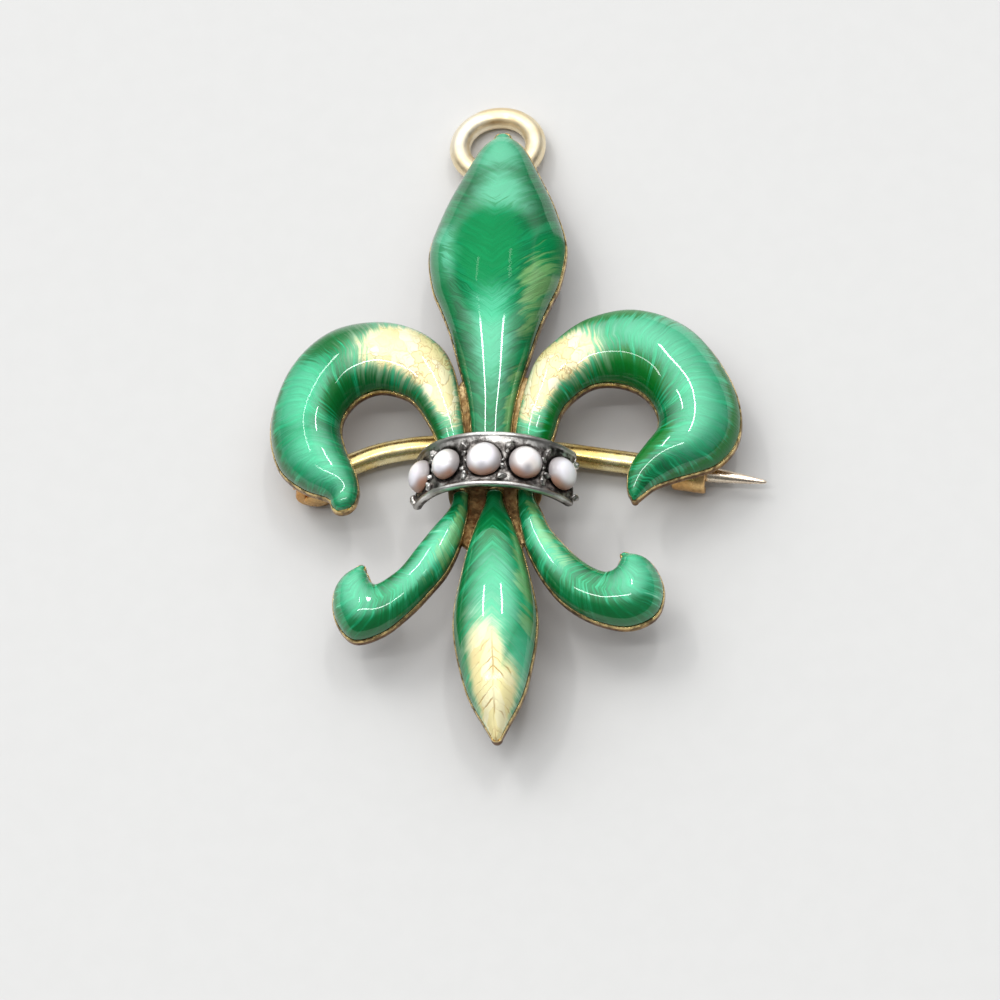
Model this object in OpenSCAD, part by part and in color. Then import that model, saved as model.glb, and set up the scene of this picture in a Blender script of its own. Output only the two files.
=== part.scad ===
// Fleur-de-lis pin: a domed gold body with six enamelled petals, a pearl-set silver
// band, and a swinging pin stem behind it. It lies on its back on the plane z = 0, with
// the ring end toward +Y and the enamel toward +Z. The origin is on that plane, under
// the middle of the flower.

/* [Flower] */
// Height of the back of the flower above the surface it lies on
back_z = 3.0; // [2.6:0.1:3.6]
// Height of the gold side wall below the enamel
wall = 0.5; // [0.4:0.05:0.8]
// Radius of the gentle doming from side to side
dome_x = 51; // [40:1:120]
// Radius of the gentle doming from end to end
dome_y = 102; // [80:1:240]
// Width of the gold rim round each petal
rim_w = 0.12; // [0.06:0.02:0.2]
// Thickness of the enamel
skin = 0.28; // [0.2:0.02:0.4]
// Gap between the enamel and the gold under it
enamel_gap = 0.03; // [0.02:0.01:0.06]

/* [Top petal] */
// Distance from the middle of the flower to the tip of the top petal
top_len = 17.6; // [15:0.2:20]
// Widest part of the top petal
top_w = 6.26; // [5:0.1:7]
// Sideways lean of the top petal over its length
top_lean = 0.4; // [0:0.1:0.8]
// Height of the top petal's dome as a share of its half width
top_relief_share = 0.53; // [0.4:0.01:0.6]

/* [Bottom petal] */
// Distance from the middle of the flower to the bottom tip
bottom_len = 12.6; // [11:0.2:14]
// Widest part of the bottom petal
bottom_w = 3.78; // [3:0.1:4.4]
// Height of the bottom petal's dome as a share of its half width
bottom_relief_share = 0.7; // [0.5:0.02:0.8]

/* [Side petals] */
// Reach of the left side petal from the middle line
wing_left = 10.2; // [9.6:0.1:10.8]
// Reach of the right side petal from the middle line
wing_right = 10.85; // [10.2:0.1:11.4]
// Height of the side petals above the middle of the flower
wing_top = 8.05; // [7.4:0.1:8.8]
// Height of a side petal's dome as a share of its half width
wing_relief_share = 0.78; // [0.6:0.02:0.84]

/* [Scrolls] */
// Reach of the left lower scroll from the middle line
scroll_left = 7.23; // [6.6:0.1:7.8]
// Reach of the right lower scroll from the middle line
scroll_right = 7.4; // [6.8:0.1:8]
// Depth of the scrolls below the middle of the flower
scroll_drop = 7.5; // [7:0.1:8]
// Height of a scroll's dome as a share of its half width
scroll_relief_share = 0.8; // [0.6:0.02:0.86]

/* [Pearl band] */
// Outer radius of the arched band
band_r = 3.83; // [3.7:0.05:4.1]
// Height of the crown of the band above the back of the flower
band_rise = 2.53; // [2.4:0.05:2.7]
// Thickness of the band
band_t = 0.42; // [0.34:0.02:0.5]
// Width of the band along the flower
band_w = 2.6; // [2.2:0.1:3]
// Half of the angle that the band spans
band_half = 69; // [66:1:74]
// Width of the raised edge of the band
edge_w = 0.24; // [0.16:0.02:0.34]
// Height of the raised edge of the band
edge_h = 0.1; // [0.05:0.01:0.16]
// Turn of the band about its own axis
band_roll = -5; // [-6:0.5:3]
// Turn of the band in the plane of the flower
band_skew = -4; // [-5:0.5:2]
// Diameter of a half pearl
pearl_d = 1.54; // [1.3:0.02:1.6]
// Height of a half pearl above the face of the band
pearl_rise = 0.42; // [0.3:0.02:0.5]
// Angle from one pearl to the next
pearl_step = 27.5; // [26:0.5:28.5]
// Radius of the small grains between the pearls
grain_r = 0.13; // [0.08:0.01:0.16]

/* [Pin stem] */
// Diameter of the pin stem
stem_d = 1.0; // [0.8:0.05:1.1]
// Distance from the middle line to the point of the stem
stem_reach = 11.8; // [11:0.1:12.6]
// Length of the tapered point
taper_len = 4.4; // [4.2:0.1:4.8]
// Slope of the straight part of the stem, in degrees toward the bottom petal
stem_slope = 11.8; // [8:0.2:14]
// Radius of the hinge barrel, which is also the height of the stem's axis
barrel_r = 0.9; // [0.8:0.02:1]
// Distance of the hinge from the middle line
hinge_reach = 8.3; // [7.9:0.1:8.6]
// Place of the hinge's middle along the flower
hinge_y = 1.8; // [1.5:0.1:2.2]
// Diameter of the hinge rivet
rivet_d = 0.66; // [0.5:0.02:0.76]

/* [Catch, hook and ring] */
// Length of the catch along the stem
catch_len = 1.5; // [1:0.1:1.6]
// Thickness of the catch
catch_t = 0.3; // [0.25:0.01:0.34]
// Distance of the catch from the middle line
catch_reach = 8.5; // [8.4:0.1:8.7]
// Diameter of the hook's wire
hook_d = 0.7; // [0.6:0.05:0.9]
// Distance from the middle of the flower to the post of the hook
hook_y = 10.2; // [9.4:0.1:10.6]
// Length of the free arm of the hook
hook_arm = 2.3; // [1.6:0.1:2.8]
// Diameter across the middle of the top ring's wire
ring_d = 3.46; // [3.2:0.1:4]
// Diameter of the top ring's wire
ring_wire = 0.95; // [0.7:0.05:1.1]
// Tilt of the top ring
ring_tilt = 12; // [10:0.5:14]

/* [Hidden] */

gold = "#c9a14a";
enamel = "#1f9a5b";
silver = "#77736f";
pearl_white = "#eae4e2";

// sections made between two rows of a petal's table
steps = 2;
// straight pieces in the arch of a petal's section
arch = 8;
// smallest share of its half width that a narrow tip keeps for the gold under the enamel
tip_share = 0.7;
// rim of a narrow tip as a share of its half width
tip_rim = 0.1;
// depth by which joined gold pieces run into each other
weld = 0.28;

// The middle of the band: its arch stands on the flower's back
band_x = 0.1;
band_y = -0.2;
band_z = back_z + band_rise - band_r;
band_gap = 0.05;
core_inset = 0.5;
core_w = band_w - 2 * core_inset;
core_foot = 0.3 * wall;
web_foot = 0.2 * wall;
web_t = 0.45 * wall;
pearls = 5;
pearl_r = pearl_d / 2;
pearl_bed = 0.2;
pearl_gap = 0.03;
pearl_cap_r = (pearl_r * pearl_r + pearl_rise * pearl_rise) / (2 * pearl_rise);
grain_side = 0.72 * pearl_r;

// Rows along the top and bottom petals.
// Columns: distance along the petal, half width (shares of length and widest half width).
top_rows = [
    [0.017, 0.27], [0.048, 0.27], [0.153, 0.316], [0.23, 0.387], [0.308, 0.5], [0.407, 0.65],
    [0.481, 0.8], [0.538, 0.923], [0.622, 1.0], [0.68, 0.978], [0.744, 0.872],
    [0.802, 0.757], [0.867, 0.597], [0.946, 0.395], [0.98, 0.27], [1.0, 0.14]];
bottom_rows = [
    [0.056, 0.22], [0.1, 0.22], [0.132, 0.28], [0.203, 0.466], [0.29, 0.65], [0.387, 0.804],
    [0.494, 0.952], [0.579, 1.0], [0.664, 0.952], [0.744, 0.852], [0.831, 0.704],
    [0.892, 0.534], [0.952, 0.312], [1.0, 0.14]];

// Rows along the side petals and scrolls, each from the inner edge to the outer edge.
// Columns: inner x, inner y, outer x, outer y (shares of the reach and of the height).
left_wing_rows = [
    [0.236, 0.037, 0.112, 0.037], [0.238, 0.106, 0.115, 0.106], [0.266, 0.26, 0.13, 0.298],
    [0.347, 0.45, 0.18, 0.672], [0.414, 0.521, 0.284, 0.876], [0.512, 0.559, 0.486, 0.993],
    [0.6, 0.521, 0.732, 0.966], [0.658, 0.436, 0.915, 0.76], [0.675, 0.338, 1.0, 0.44],
    [0.651, 0.21, 0.964, 0.158], [0.61, 0.081, 0.854, 0.003], [0.593, -0.035, 0.738, -0.07],
    [0.606, -0.092, 0.712, -0.109], [0.624, -0.13, 0.686, -0.14]];
right_wing_rows = [
    [0.208, 0.037, 0.098, 0.037], [0.21, 0.106, 0.09, 0.106], [0.245, 0.22, 0.083, 0.278],
    [0.282, 0.378, 0.151, 0.646], [0.372, 0.499, 0.253, 0.817], [0.453, 0.532, 0.393, 0.949],
    [0.547, 0.51, 0.596, 0.996], [0.619, 0.442, 0.816, 0.868], [0.659, 0.338, 0.971, 0.548],
    [0.654, 0.24, 1.0, 0.253], [0.606, 0.148, 0.913, 0.048], [0.548, 0.032, 0.733, -0.049],
    [0.534, -0.07, 0.65, -0.096], [0.538, -0.132, 0.603, -0.148], [0.549, -0.162, 0.582, -0.171]];
left_scroll_rows = [
    [0.26, 0.09, 0.15, 0.09], [0.265, 0.168, 0.155, 0.168], [0.293, 0.225, 0.163, 0.265],
    [0.379, 0.321, 0.207, 0.442], [0.483, 0.447, 0.286, 0.608], [0.575, 0.56, 0.391, 0.732],
    [0.65, 0.617, 0.52, 0.857], [0.718, 0.655, 0.687, 0.971], [0.748, 0.645, 0.873, 1.0],
    [0.761, 0.625, 0.985, 0.861], [0.768, 0.606, 1.0, 0.696], [0.78, 0.58, 0.942, 0.594],
    [0.795, 0.56, 0.845, 0.53]];
right_scroll_rows = [
    [0.24, 0.09, 0.13, 0.09], [0.245, 0.168, 0.132, 0.168], [0.281, 0.246, 0.138, 0.266],
    [0.328, 0.357, 0.162, 0.407], [0.392, 0.441, 0.196, 0.522], [0.474, 0.531, 0.278, 0.688],
    [0.568, 0.607, 0.4, 0.842], [0.65, 0.646, 0.576, 0.956], [0.69, 0.64, 0.785, 1.0],
    [0.708, 0.627, 0.955, 0.919], [0.72, 0.609, 1.0, 0.746], [0.732, 0.585, 0.92, 0.578],
    [0.745, 0.555, 0.79, 0.526]];

// Outline of the gold web that fills the narrow gaps between the petals, as shares of
// the right side petal's reach and of the petals' height
web_half = [
    [0, 0.62], [0.15, 0.58], [0.19, 0.28], [0.19, -0.12], [0.145, -0.28], [0.155, -0.4], [0, -0.46]];

// Route of the bent part of the stem, from the hinge to the straight part, as shares of
// the hinge's reach (x) and steps of height above the hinge's middle (y)
stem_bend = [[-0.88, 0], [-0.79, 0.32], [-0.67, 0.66], [-0.54, 0.86], [-0.4, 0.95], [-0.2, 0.89]];

// A smooth row between rows i and i + 1
function blend(p, q, r, s, t) =
    0.5 * (2 * q + (r - p) * t + (2 * p - 5 * q + 4 * r - s) * t * t + (3 * q - p - 3 * r + s) * t * t * t);
function row(rows, i) = rows[max(0, min(len(rows) - 1, i))];
function smooth(rows, n) = concat(
    [for (i = [0:len(rows) - 2]) for (k = [0:n - 1])
        blend(row(rows, i - 1), row(rows, i), row(rows, i + 1), row(rows, i + 2), k / n)],
    [rows[len(rows) - 1]]);

// Each rib is [inner x, inner y, outer x, outer y] in millimetres
function side_ribs(rows, reach, height) =
    [for (r = smooth(rows, steps)) [r[0] * reach, r[1] * height, r[2] * reach, r[3] * height]];
function leaf_ribs(rows, length, width, lean) =
    [for (r = smooth(rows, steps))
        let (x = lean * (r[0] - 0.5), y = r[0] * length, half = r[1] * width / 2)
        [x - half, y, x + half, y]];

top_ribs = leaf_ribs(top_rows, top_len, top_w, top_lean);
bottom_ribs = leaf_ribs(bottom_rows, -bottom_len, bottom_w, 0);
left_wing_ribs = side_ribs(left_wing_rows, -wing_left, wing_top);
right_wing_ribs = side_ribs(right_wing_rows, wing_right, wing_top);
left_scroll_ribs = side_ribs(left_scroll_rows, -scroll_left, -scroll_drop);
right_scroll_ribs = side_ribs(right_scroll_rows, scroll_right, -scroll_drop);

// Height of the domed back over a place on the flower
function back_at(x, y) = back_z - x * x / (2 * dome_x) - y * y / (2 * dome_y);

// Place on a rib at the share u of its half width (-1 inner edge, 1 outer edge), with
// the height h above the back
function on_rib(rib, u, h) =
    let (x = (rib[0] + rib[2]) / 2 + u * (rib[2] - rib[0]) / 2,
         y = (rib[1] + rib[3]) / 2 + u * (rib[3] - rib[1]) / 2)
    [x, y, back_at(x, y) + h];
function half_of(rib) = norm([rib[2] - rib[0], rib[3] - rib[1]]) / 2;

// Half widths of the enamel and of the gold dome under it
function enamel_half(half) = half - min(rim_w, tip_rim * half);
function dome_half(half) = max(half - rim_w - skin, tip_share * half);
function dome_height(half, relief) = relief * half - min(skin, (1 - tip_share) * relief * half);

function arch_points(rib, half, height, foot) =
    let (share = half / half_of(rib))
    [for (k = [0:arch]) on_rib(rib, share * cos(180 * k / arch), foot + height * sin(180 * k / arch))];

function gold_section(rib, relief) =
    let (half = half_of(rib))
    concat([on_rib(rib, -1, 0), on_rib(rib, 1, 0), on_rib(rib, 1, wall)],
        arch_points(rib, dome_half(half), dome_height(half, relief), wall),
        [on_rib(rib, -1, wall)]);
function enamel_section(rib, relief) =
    let (half = half_of(rib),
         inside = arch_points(rib, dome_half(half) + enamel_gap, dome_height(half, relief) + enamel_gap,
             wall + enamel_gap))
    concat(arch_points(rib, enamel_half(half), relief * half, wall + enamel_gap),
        [for (k = [arch:-1:0]) inside[k]]);

// Closed skin over sections of equal point count; turned gives the other winding. The
// gold under an enamel is a base: its facets run as the enamel's inner face does, and fans
// about the middle of the section close its ends.
function middle_of(section) = [for (p = section) 1 / len(section)] * section;
module loft(sections, turned, base) {
    n = len(sections[0]);
    m = len(sections);
    middles = base ? [middle_of(sections[0]), middle_of(sections[m - 1])] : [];
    sides = [for (i = [0:m - 2]) for (k = [0:n - 1]) for (half = [0, 1])
        let (a = i * n + k, b = i * n + (k + 1) % n)
        base
            ? (half == 0 ? [a, b, a + n] : [b, b + n, a + n])
            : (half == 0 ? [a, b, b + n] : [a, b + n, a + n])];
    flat = [[for (k = [n - 1:-1:0]) k], [for (k = [0:n - 1]) (m - 1) * n + k]];
    fans = [for (cap = [0, 1]) for (k = [0:n - 1]) [m * n + cap, flat[cap][k], flat[cap][(k + 1) % n]]];
    caps = base ? fans : flat;
    faces = concat(sides, caps);
    polyhedron(
        points = concat([for (s = sections) each s], middles),
        faces = turned ? [for (f = faces) [for (k = [len(f) - 1:-1:0]) f[k]]] : faces,
        convexity = 6);
}

module gold_petal(ribs, relief, turned) {
    loft([for (rib = ribs) gold_section(rib, relief)], turned, true);
}

// The enamel starts one row later than the gold, where the band still covers it
module enamel_petal(ribs, relief, turned) {
    color(enamel)
        loft([for (i = [steps:len(ribs) - 1]) enamel_section(ribs[i], relief)], turned, false);
}

module enamel_top_petal() {
    enamel_petal(top_ribs, top_relief_share, false);
}
module enamel_left_petal() {
    enamel_petal(left_wing_ribs, wing_relief_share, false);
}
module enamel_right_petal() {
    enamel_petal(right_wing_ribs, wing_relief_share, true);
}
module enamel_left_scroll() {
    enamel_petal(left_scroll_ribs, scroll_relief_share, true);
}
module enamel_right_scroll() {
    enamel_petal(right_scroll_ribs, scroll_relief_share, false);
}
module enamel_bottom_petal() {
    enamel_petal(bottom_ribs, bottom_relief_share, true);
}

module web() {
    right = [for (p = web_half) [p[0] * wing_right, p[1] * wing_top]];
    left = [for (i = [len(right) - 2:-1:1]) [-right[i][0], right[i][1]]];
    translate([0, 0, back_z + web_foot])
        linear_extrude(web_t)
            polygon(concat(right, left));
}

// Frame of the band: turned by the angle from the top of its arch
module on_band(angle) {
    translate([band_x, band_y, band_z])
        rotate([0, 0, band_skew])
            rotate([0, band_roll + angle, 0])
                children();
}

// The gold that fills the arch of the band
module band_core() {
    intersection() {
        on_band(0)
            rotate([90, 0, 0])
                cylinder(r = band_r - band_t - band_gap, h = core_w, center = true, $fn = 96);
        translate([-band_r, -band_w, back_z + core_foot])
            cube([2 * band_r, 2 * band_w, band_r]);
    }
}

// Hinge: two fixed knuckles under the left petal, with the stem's knuckle between them
knuckle = 0.8;
knuckle_gap = 0.06;
stem_knuckle = 0.9;
hinge_half = stem_knuckle / 2 + knuckle_gap + knuckle;
hinge_gap = 0.05;
rivet_gap = 0.03;
head_t = 0.14;
head_d = 1.6 * rivet_d;
strut_half = 0.8 * barrel_r;

module on_hinge() {
    translate([-hinge_reach, hinge_y, barrel_r])
        children();
}

module hinge_seat() {
    top = back_at(-hinge_reach, hinge_y) + weld;
    difference() {
        union() {
            for (side = [-1, 1])
                on_hinge()
                    translate([0, side * (hinge_half - knuckle / 2), 0])
                        rotate([90, 0, 0])
                            cylinder(r = barrel_r, h = knuckle, center = true, $fn = 64);
            for (side = [-1, 1])
                on_hinge()
                    translate([-strut_half, side * (hinge_half - knuckle / 2) - knuckle / 2, 0])
                        cube([2 * strut_half, knuckle, top - barrel_r - weld / 2]);
            on_hinge()
                translate([-barrel_r, -hinge_half, barrel_r + hinge_gap])
                    cube([barrel_r * 2, 2 * hinge_half, top - 2 * barrel_r - hinge_gap]);
        }
        on_hinge()
            rotate([90, 0, 0])
                cylinder(d = rivet_d + 2 * rivet_gap, h = 4 * hinge_half, center = true, $fn = 48);
    }
}

// Frame of the stem's straight part: X runs along it toward the point
stem_tip_y = 0.21;
stem_straight = 9.2;
module on_stem(along) {
    translate([stem_reach, stem_tip_y, barrel_r])
        rotate([0, 0, -stem_slope])
            translate([-along, 0, 0])
                children();
}
function on_line(along) =
    [stem_reach - along * cos(stem_slope), stem_tip_y + along * sin(stem_slope)];

// C-shaped catch under the right petal, open toward the bottom petal
catch_back = (stem_reach - catch_reach) / cos(stem_slope);
catch_in = barrel_r - catch_t;
mouth_low = 0.4;
mouth_high = 0.7 * catch_in;
foot_w = 0.8;
foot_low = 0.7 * barrel_r;
module catch() {
    place = on_line(catch_back);
    top = back_at(place[0], place[1]) + weld;
    difference() {
        union() {
            on_stem(catch_back)
                rotate([0, 90, 0])
                    cylinder(r = barrel_r, h = catch_len, center = true, $fn = 64);
            on_stem(catch_back)
                translate([-catch_len / 2, -foot_w / 2, foot_low])
                    cube([catch_len, foot_w, top - barrel_r - foot_low]);
        }
        on_stem(catch_back)
            rotate([0, 90, 0])
                cylinder(r = catch_in, h = 2 * catch_len, center = true, $fn = 64);
        on_stem(catch_back)
            translate([-catch_len, -2 * barrel_r, -mouth_low])
                cube([2 * catch_len, 2 * barrel_r, mouth_low + mouth_high]);
    }
}

// Hook behind the bottom petal: a post from the back, a bend and a free arm
hook_bend = 0.8;
module back_hook() {
    low = hook_d / 2;
    top = back_at(0, hook_y) + weld;
    translate([0, -hook_y, low + hook_bend])
        cylinder(d = hook_d, h = top - low - hook_bend, $fn = 40);
    translate([0, -hook_y + hook_bend, low + hook_bend])
        rotate([0, 90, 0])
            rotate([0, 0, -90])
                rotate_extrude(angle = 90, $fn = 64)
                    translate([hook_bend, 0])
                        circle(d = hook_d, $fn = 40);
    translate([0, -hook_y + hook_bend, low])
        rotate([-90, 0, 0])
            cylinder(d = hook_d, h = hook_arm, $fn = 40);
}

// Ring of round wire behind the top petal's tip, its far edge on the surface below
ring_past = 2.4;
ring_x = -0.15;
seat_w = 1.7;
seat_l = 0.9;
seat_bite = 0.1;
module top_ring() {
    middle_y = top_len + ring_past - (ring_d / 2 + ring_wire / 2) * cos(ring_tilt);
    middle_z = ring_wire / 2 + ring_d / 2 * sin(ring_tilt);
    seat_y = middle_y - ring_d / 2 * cos(ring_tilt);
    seat_foot = middle_z + ring_d / 2 * sin(ring_tilt) - seat_bite;
    seat_top = back_at(0, seat_y) + weld;
    translate([ring_x, middle_y, middle_z])
        rotate([-ring_tilt, 0, 0])
            rotate_extrude($fn = 96)
                translate([ring_d / 2, 0])
                    circle(d = ring_wire, $fn = 40);
    translate([ring_x - seat_w / 2, seat_y - seat_l / 2, seat_foot])
        cube([seat_w, seat_l, seat_top - seat_foot]);
}

module fleur_body() {
    color(gold)
        union() {
            gold_petal(top_ribs, top_relief_share, false);
            gold_petal(bottom_ribs, bottom_relief_share, true);
            gold_petal(left_wing_ribs, wing_relief_share, false);
            gold_petal(right_wing_ribs, wing_relief_share, true);
            gold_petal(left_scroll_ribs, scroll_relief_share, true);
            gold_petal(right_scroll_ribs, scroll_relief_share, false);
            web();
            band_core();
            hinge_seat();
            catch();
            back_hook();
            top_ring();
        }
}

module band() {
    half = band_w / 2;
    low = band_r - band_t;
    high = band_r + edge_h;
    profile = [
        [low, -half], [high, -half], [high, edge_w - half], [band_r, edge_w + edge_h - half],
        [band_r, half - edge_w - edge_h], [high, half - edge_w], [high, half], [low, half]];
    color(silver)
        difference() {
            union() {
                on_band(0)
                    rotate([-90, 0, 0])
                        rotate([0, 0, -90 - band_half])
                            rotate_extrude(angle = 2 * band_half, $fn = 128)
                                polygon(profile);
                for (i = [1:pearls - 1])
                    for (side = [-1, 1])
                        on_band((i - pearls / 2) * pearl_step)
                            translate([0, side * grain_side, band_r])
                                sphere(r = grain_r, $fn = 24);
            }
            for (i = [0:pearls - 1])
                on_band((i - (pearls - 1) / 2) * pearl_step)
                    translate([0, 0, band_r - pearl_bed - pearl_gap])
                        cylinder(r = pearl_r + pearl_gap, h = pearl_rise + pearl_bed, $fn = 48);
        }
}

// A half pearl: the cap of a larger ball on a short round foot
module pearl(i) {
    color(pearl_white)
        on_band((i - (pearls + 1) / 2) * pearl_step)
            intersection() {
                translate([0, 0, band_r + pearl_rise - pearl_cap_r])
                    sphere(r = pearl_cap_r, $fn = 64);
                translate([0, 0, band_r - pearl_bed])
                    cylinder(r = pearl_r, h = pearl_rise + pearl_bed, $fn = 64);
            }
}

module pearl_1() {
    pearl(1);
}
module pearl_2() {
    pearl(2);
}
module pearl_3() {
    pearl(3);
}
module pearl_4() {
    pearl(4);
}
module pearl_5() {
    pearl(5);
}

// The stem: a knuckle, a short root, a bent wire of many sides, a straight shaft and a
// tapered point
root_d = 0.84 * stem_d;
root_past = 0.5;
point_d = 0.12;
bend_sides = 16;
bend_inset = 0.01;
bend_overlap = 0.8;
module pin_stem() {
    end = on_line(stem_straight);
    next = on_line(stem_straight - bend_overlap);
    bend = concat([for (p = stem_bend) [p[0] * hinge_reach, hinge_y + p[1]]], [end, next]);
    path = smooth(bend, steps);
    color(gold)
        difference() {
            union() {
                on_hinge()
                    rotate([90, 0, 0])
                        cylinder(r = barrel_r - hinge_gap, h = stem_knuckle, center = true, $fn = 64);
                on_hinge()
                    rotate([0, 90, 0])
                        cylinder(d = root_d, h = barrel_r + root_past, $fn = 40);
                loft([for (i = [0:len(path) - 1]) wire_section(path, i, stem_d / 2 - bend_inset)], true, false);
                on_stem(stem_straight)
                    rotate([0, 90, 0])
                        cylinder(d = stem_d, h = stem_straight - taper_len, $fn = 64);
                on_stem(taper_len)
                    rotate([0, 90, 0])
                        cylinder(d1 = stem_d, d2 = point_d, h = taper_len, $fn = 64);
            }
            on_hinge()
                rotate([90, 0, 0])
                    cylinder(d = rivet_d + 2 * rivet_gap, h = 2 * stem_knuckle, center = true, $fn = 48);
        }
}

// Round section of the bent wire, square to its route
function wire_section(path, i, r) =
    let (a = path[max(i - 1, 0)], b = path[min(i + 1, len(path) - 1)],
         along = (b - a) / norm(b - a))
    [for (k = [0:bend_sides - 1])
        let (angle = 360 * k / bend_sides, side = r * cos(angle))
        [path[i][0] - along[1] * side, path[i][1] + along[0] * side, barrel_r + r * sin(angle)]];

module hinge_rivet() {
    color(gold)
        on_hinge()
            rotate([90, 0, 0])
                union() {
                    cylinder(d = rivet_d, h = 2 * (hinge_half + hinge_gap), center = true, $fn = 48);
                    for (side = [-1, 1])
                        translate([0, 0, side * (hinge_half + hinge_gap + head_t / 2)])
                            cylinder(d = head_d, h = head_t, center = true, $fn = 48);
                }
}

fleur_body();
enamel_top_petal();
enamel_left_petal();
enamel_right_petal();
enamel_left_scroll();
enamel_right_scroll();
enamel_bottom_petal();
band();
pearl_1();
pearl_2();
pearl_3();
pearl_4();
pearl_5();
pin_stem();
hinge_rivet();
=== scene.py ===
from math import cos, pi, radians, sin, sqrt
from random import Random

import bmesh
import bpy
from mathutils import Matrix, Vector, noise


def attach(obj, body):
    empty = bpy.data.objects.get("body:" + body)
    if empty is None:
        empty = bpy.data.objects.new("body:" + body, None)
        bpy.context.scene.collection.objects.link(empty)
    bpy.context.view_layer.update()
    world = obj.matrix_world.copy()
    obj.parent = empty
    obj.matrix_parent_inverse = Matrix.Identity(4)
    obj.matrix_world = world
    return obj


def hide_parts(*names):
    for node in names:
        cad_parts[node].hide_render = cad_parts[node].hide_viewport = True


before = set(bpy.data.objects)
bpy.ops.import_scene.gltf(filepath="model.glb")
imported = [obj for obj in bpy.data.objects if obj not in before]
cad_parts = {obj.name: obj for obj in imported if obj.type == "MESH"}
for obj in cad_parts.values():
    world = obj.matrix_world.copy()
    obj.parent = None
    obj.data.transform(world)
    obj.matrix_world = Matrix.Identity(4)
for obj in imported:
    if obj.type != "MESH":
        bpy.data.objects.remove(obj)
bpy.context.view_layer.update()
print("frame loaded")

mm = 0.001  # pieces are drawn in millimetres and scaled when they become a mesh

# what the petals share, as in the solids
flower = {
    "backHeight": 3.0,
    "domeX": 51.0,
    "domeY": 102.0,
    "wall": 0.5,
    "rim": 0.06,
    "seam": 0.02,
    "skin": 0.28,
    "tipShare": 0.7,
    "rowSteps": 5,
    "waveScale": 0.5,
    "waves": 0.03,
}


def backAt(x, y):
    return flower["backHeight"] - x * x / (2 * flower["domeX"]) - y * y / (2 * flower["domeY"])


def smoothStep(low, high, value):
    t = min(max((value - low) / (high - low), 0), 1)
    return t * t * (3 - 2 * t)


def hexColour(text):
    channels = [int(text[i : i + 2], 16) / 255 for i in (1, 3, 5)]
    return tuple(c / 12.92 if c <= 0.04045 else ((c + 0.055) / 1.055) ** 2.4 for c in channels) + (1,)


# meshes


def loftRings(rings, flows=None):
    # one circle, filled, then its edges are extruded from ring to ring
    bm = bmesh.new()
    station = bm.verts.layers.int.new("station")
    flow = bm.verts.layers.float_vector.new("flow")

    def place(verts, i):
        for v in verts:
            v.co = rings[i][v[station]]
            if flows:
                v[flow] = flows[i][v[station]]

    first = bmesh.ops.create_circle(bm, segments=len(rings[0]), radius=1, cap_ends=True)["verts"]
    for k, v in enumerate(first):
        v[station] = k
    place(first, 0)
    edges = list(bm.edges)
    for i in range(1, len(rings)):
        made = bmesh.ops.extrude_edge_only(bm, edges=edges)["geom"]
        verts = {g for g in made if isinstance(g, bmesh.types.BMVert)}
        place(verts, i)
        edges = [g for g in made if isinstance(g, bmesh.types.BMEdge) and set(g.verts) <= verts]
    bmesh.ops.contextual_create(bm, geom=edges)
    bm.verts.layers.int.remove(station)
    return bm


def finishPiece(name, bm, material, body="flower", level=0, replaced=()):
    bmesh.ops.recalc_face_normals(bm, faces=bm.faces)
    bmesh.ops.scale(bm, vec=(mm, mm, mm), verts=bm.verts)
    mesh = bpy.data.meshes.new(name)
    bm.to_mesh(mesh)
    bm.free()
    mesh.shade_smooth()
    piece = bpy.data.objects.new(name, mesh)
    bpy.context.scene.collection.objects.link(piece)
    mesh.materials.append(material)
    if level:
        soft = piece.modifiers.new("soft", "SUBSURF")
        soft.levels = soft.render_levels = level
    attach(piece, body)
    if replaced:
        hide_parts(*replaced)
    return piece


def catmull(p, q, r, s, t):
    return tuple(
        0.5 * (2 * b + (c - a) * t + (2 * a - 5 * b + 4 * c - d) * t * t + (3 * b - a - 3 * c + d) * t**3)
        for a, b, c, d in zip(p, q, r, s)
    )


def smoothRows(rows, steps):
    def row(i):
        return rows[max(0, min(len(rows) - 1, i))]

    made = [
        catmull(row(i - 1), row(i), row(i + 1), row(i + 2), k / steps)
        for i in range(len(rows) - 1)
        for k in range(steps)
    ]
    return made + [tuple(rows[-1])]


def sweptRings(path, radii, sides):
    # circles square to a path, turned along it without twisting
    rings = []
    side = None
    for i, point in enumerate(path):
        along = (path[min(i + 1, len(path) - 1)] - path[max(i - 1, 0)]).normalized()
        if side is None:
            side = along.orthogonal().normalized()
        side = (side - along * side.dot(along)).normalized()
        other = along.cross(side)
        rings.append(
            [
                point + (side * cos(2 * pi * k / sides) + other * sin(2 * pi * k / sides)) * radii[i]
                for k in range(sides)
            ]
        )
    return rings


# node helpers


def addNode(tree, kind, inputs=None, **settings):
    made = tree.nodes.new(kind)
    for key, value in settings.items():
        setattr(made, key, value)
    for key, value in (inputs or {}).items():
        if isinstance(value, bpy.types.NodeSocket):
            tree.links.new(value, made.inputs[key])
        else:
            made.inputs[key].default_value = value
    return made


def maths(tree, operation, a, b=0.0, c=0.0, clamp=False):
    return addNode(
        tree, "ShaderNodeMath", {0: a, 1: b, 2: c}, operation=operation, use_clamp=clamp
    ).outputs[0]


def vectorMaths(tree, operation, a, b=(0.0, 0.0, 0.0), c=(0.0, 0.0, 0.0), output="Vector"):
    return addNode(
        tree, "ShaderNodeVectorMath", {0: a, 1: b, 2: c}, operation=operation
    ).outputs[output]


def joined(tree, x, y):
    return addNode(tree, "ShaderNodeCombineXYZ", {"X": x, "Y": y}).outputs[0]


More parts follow.
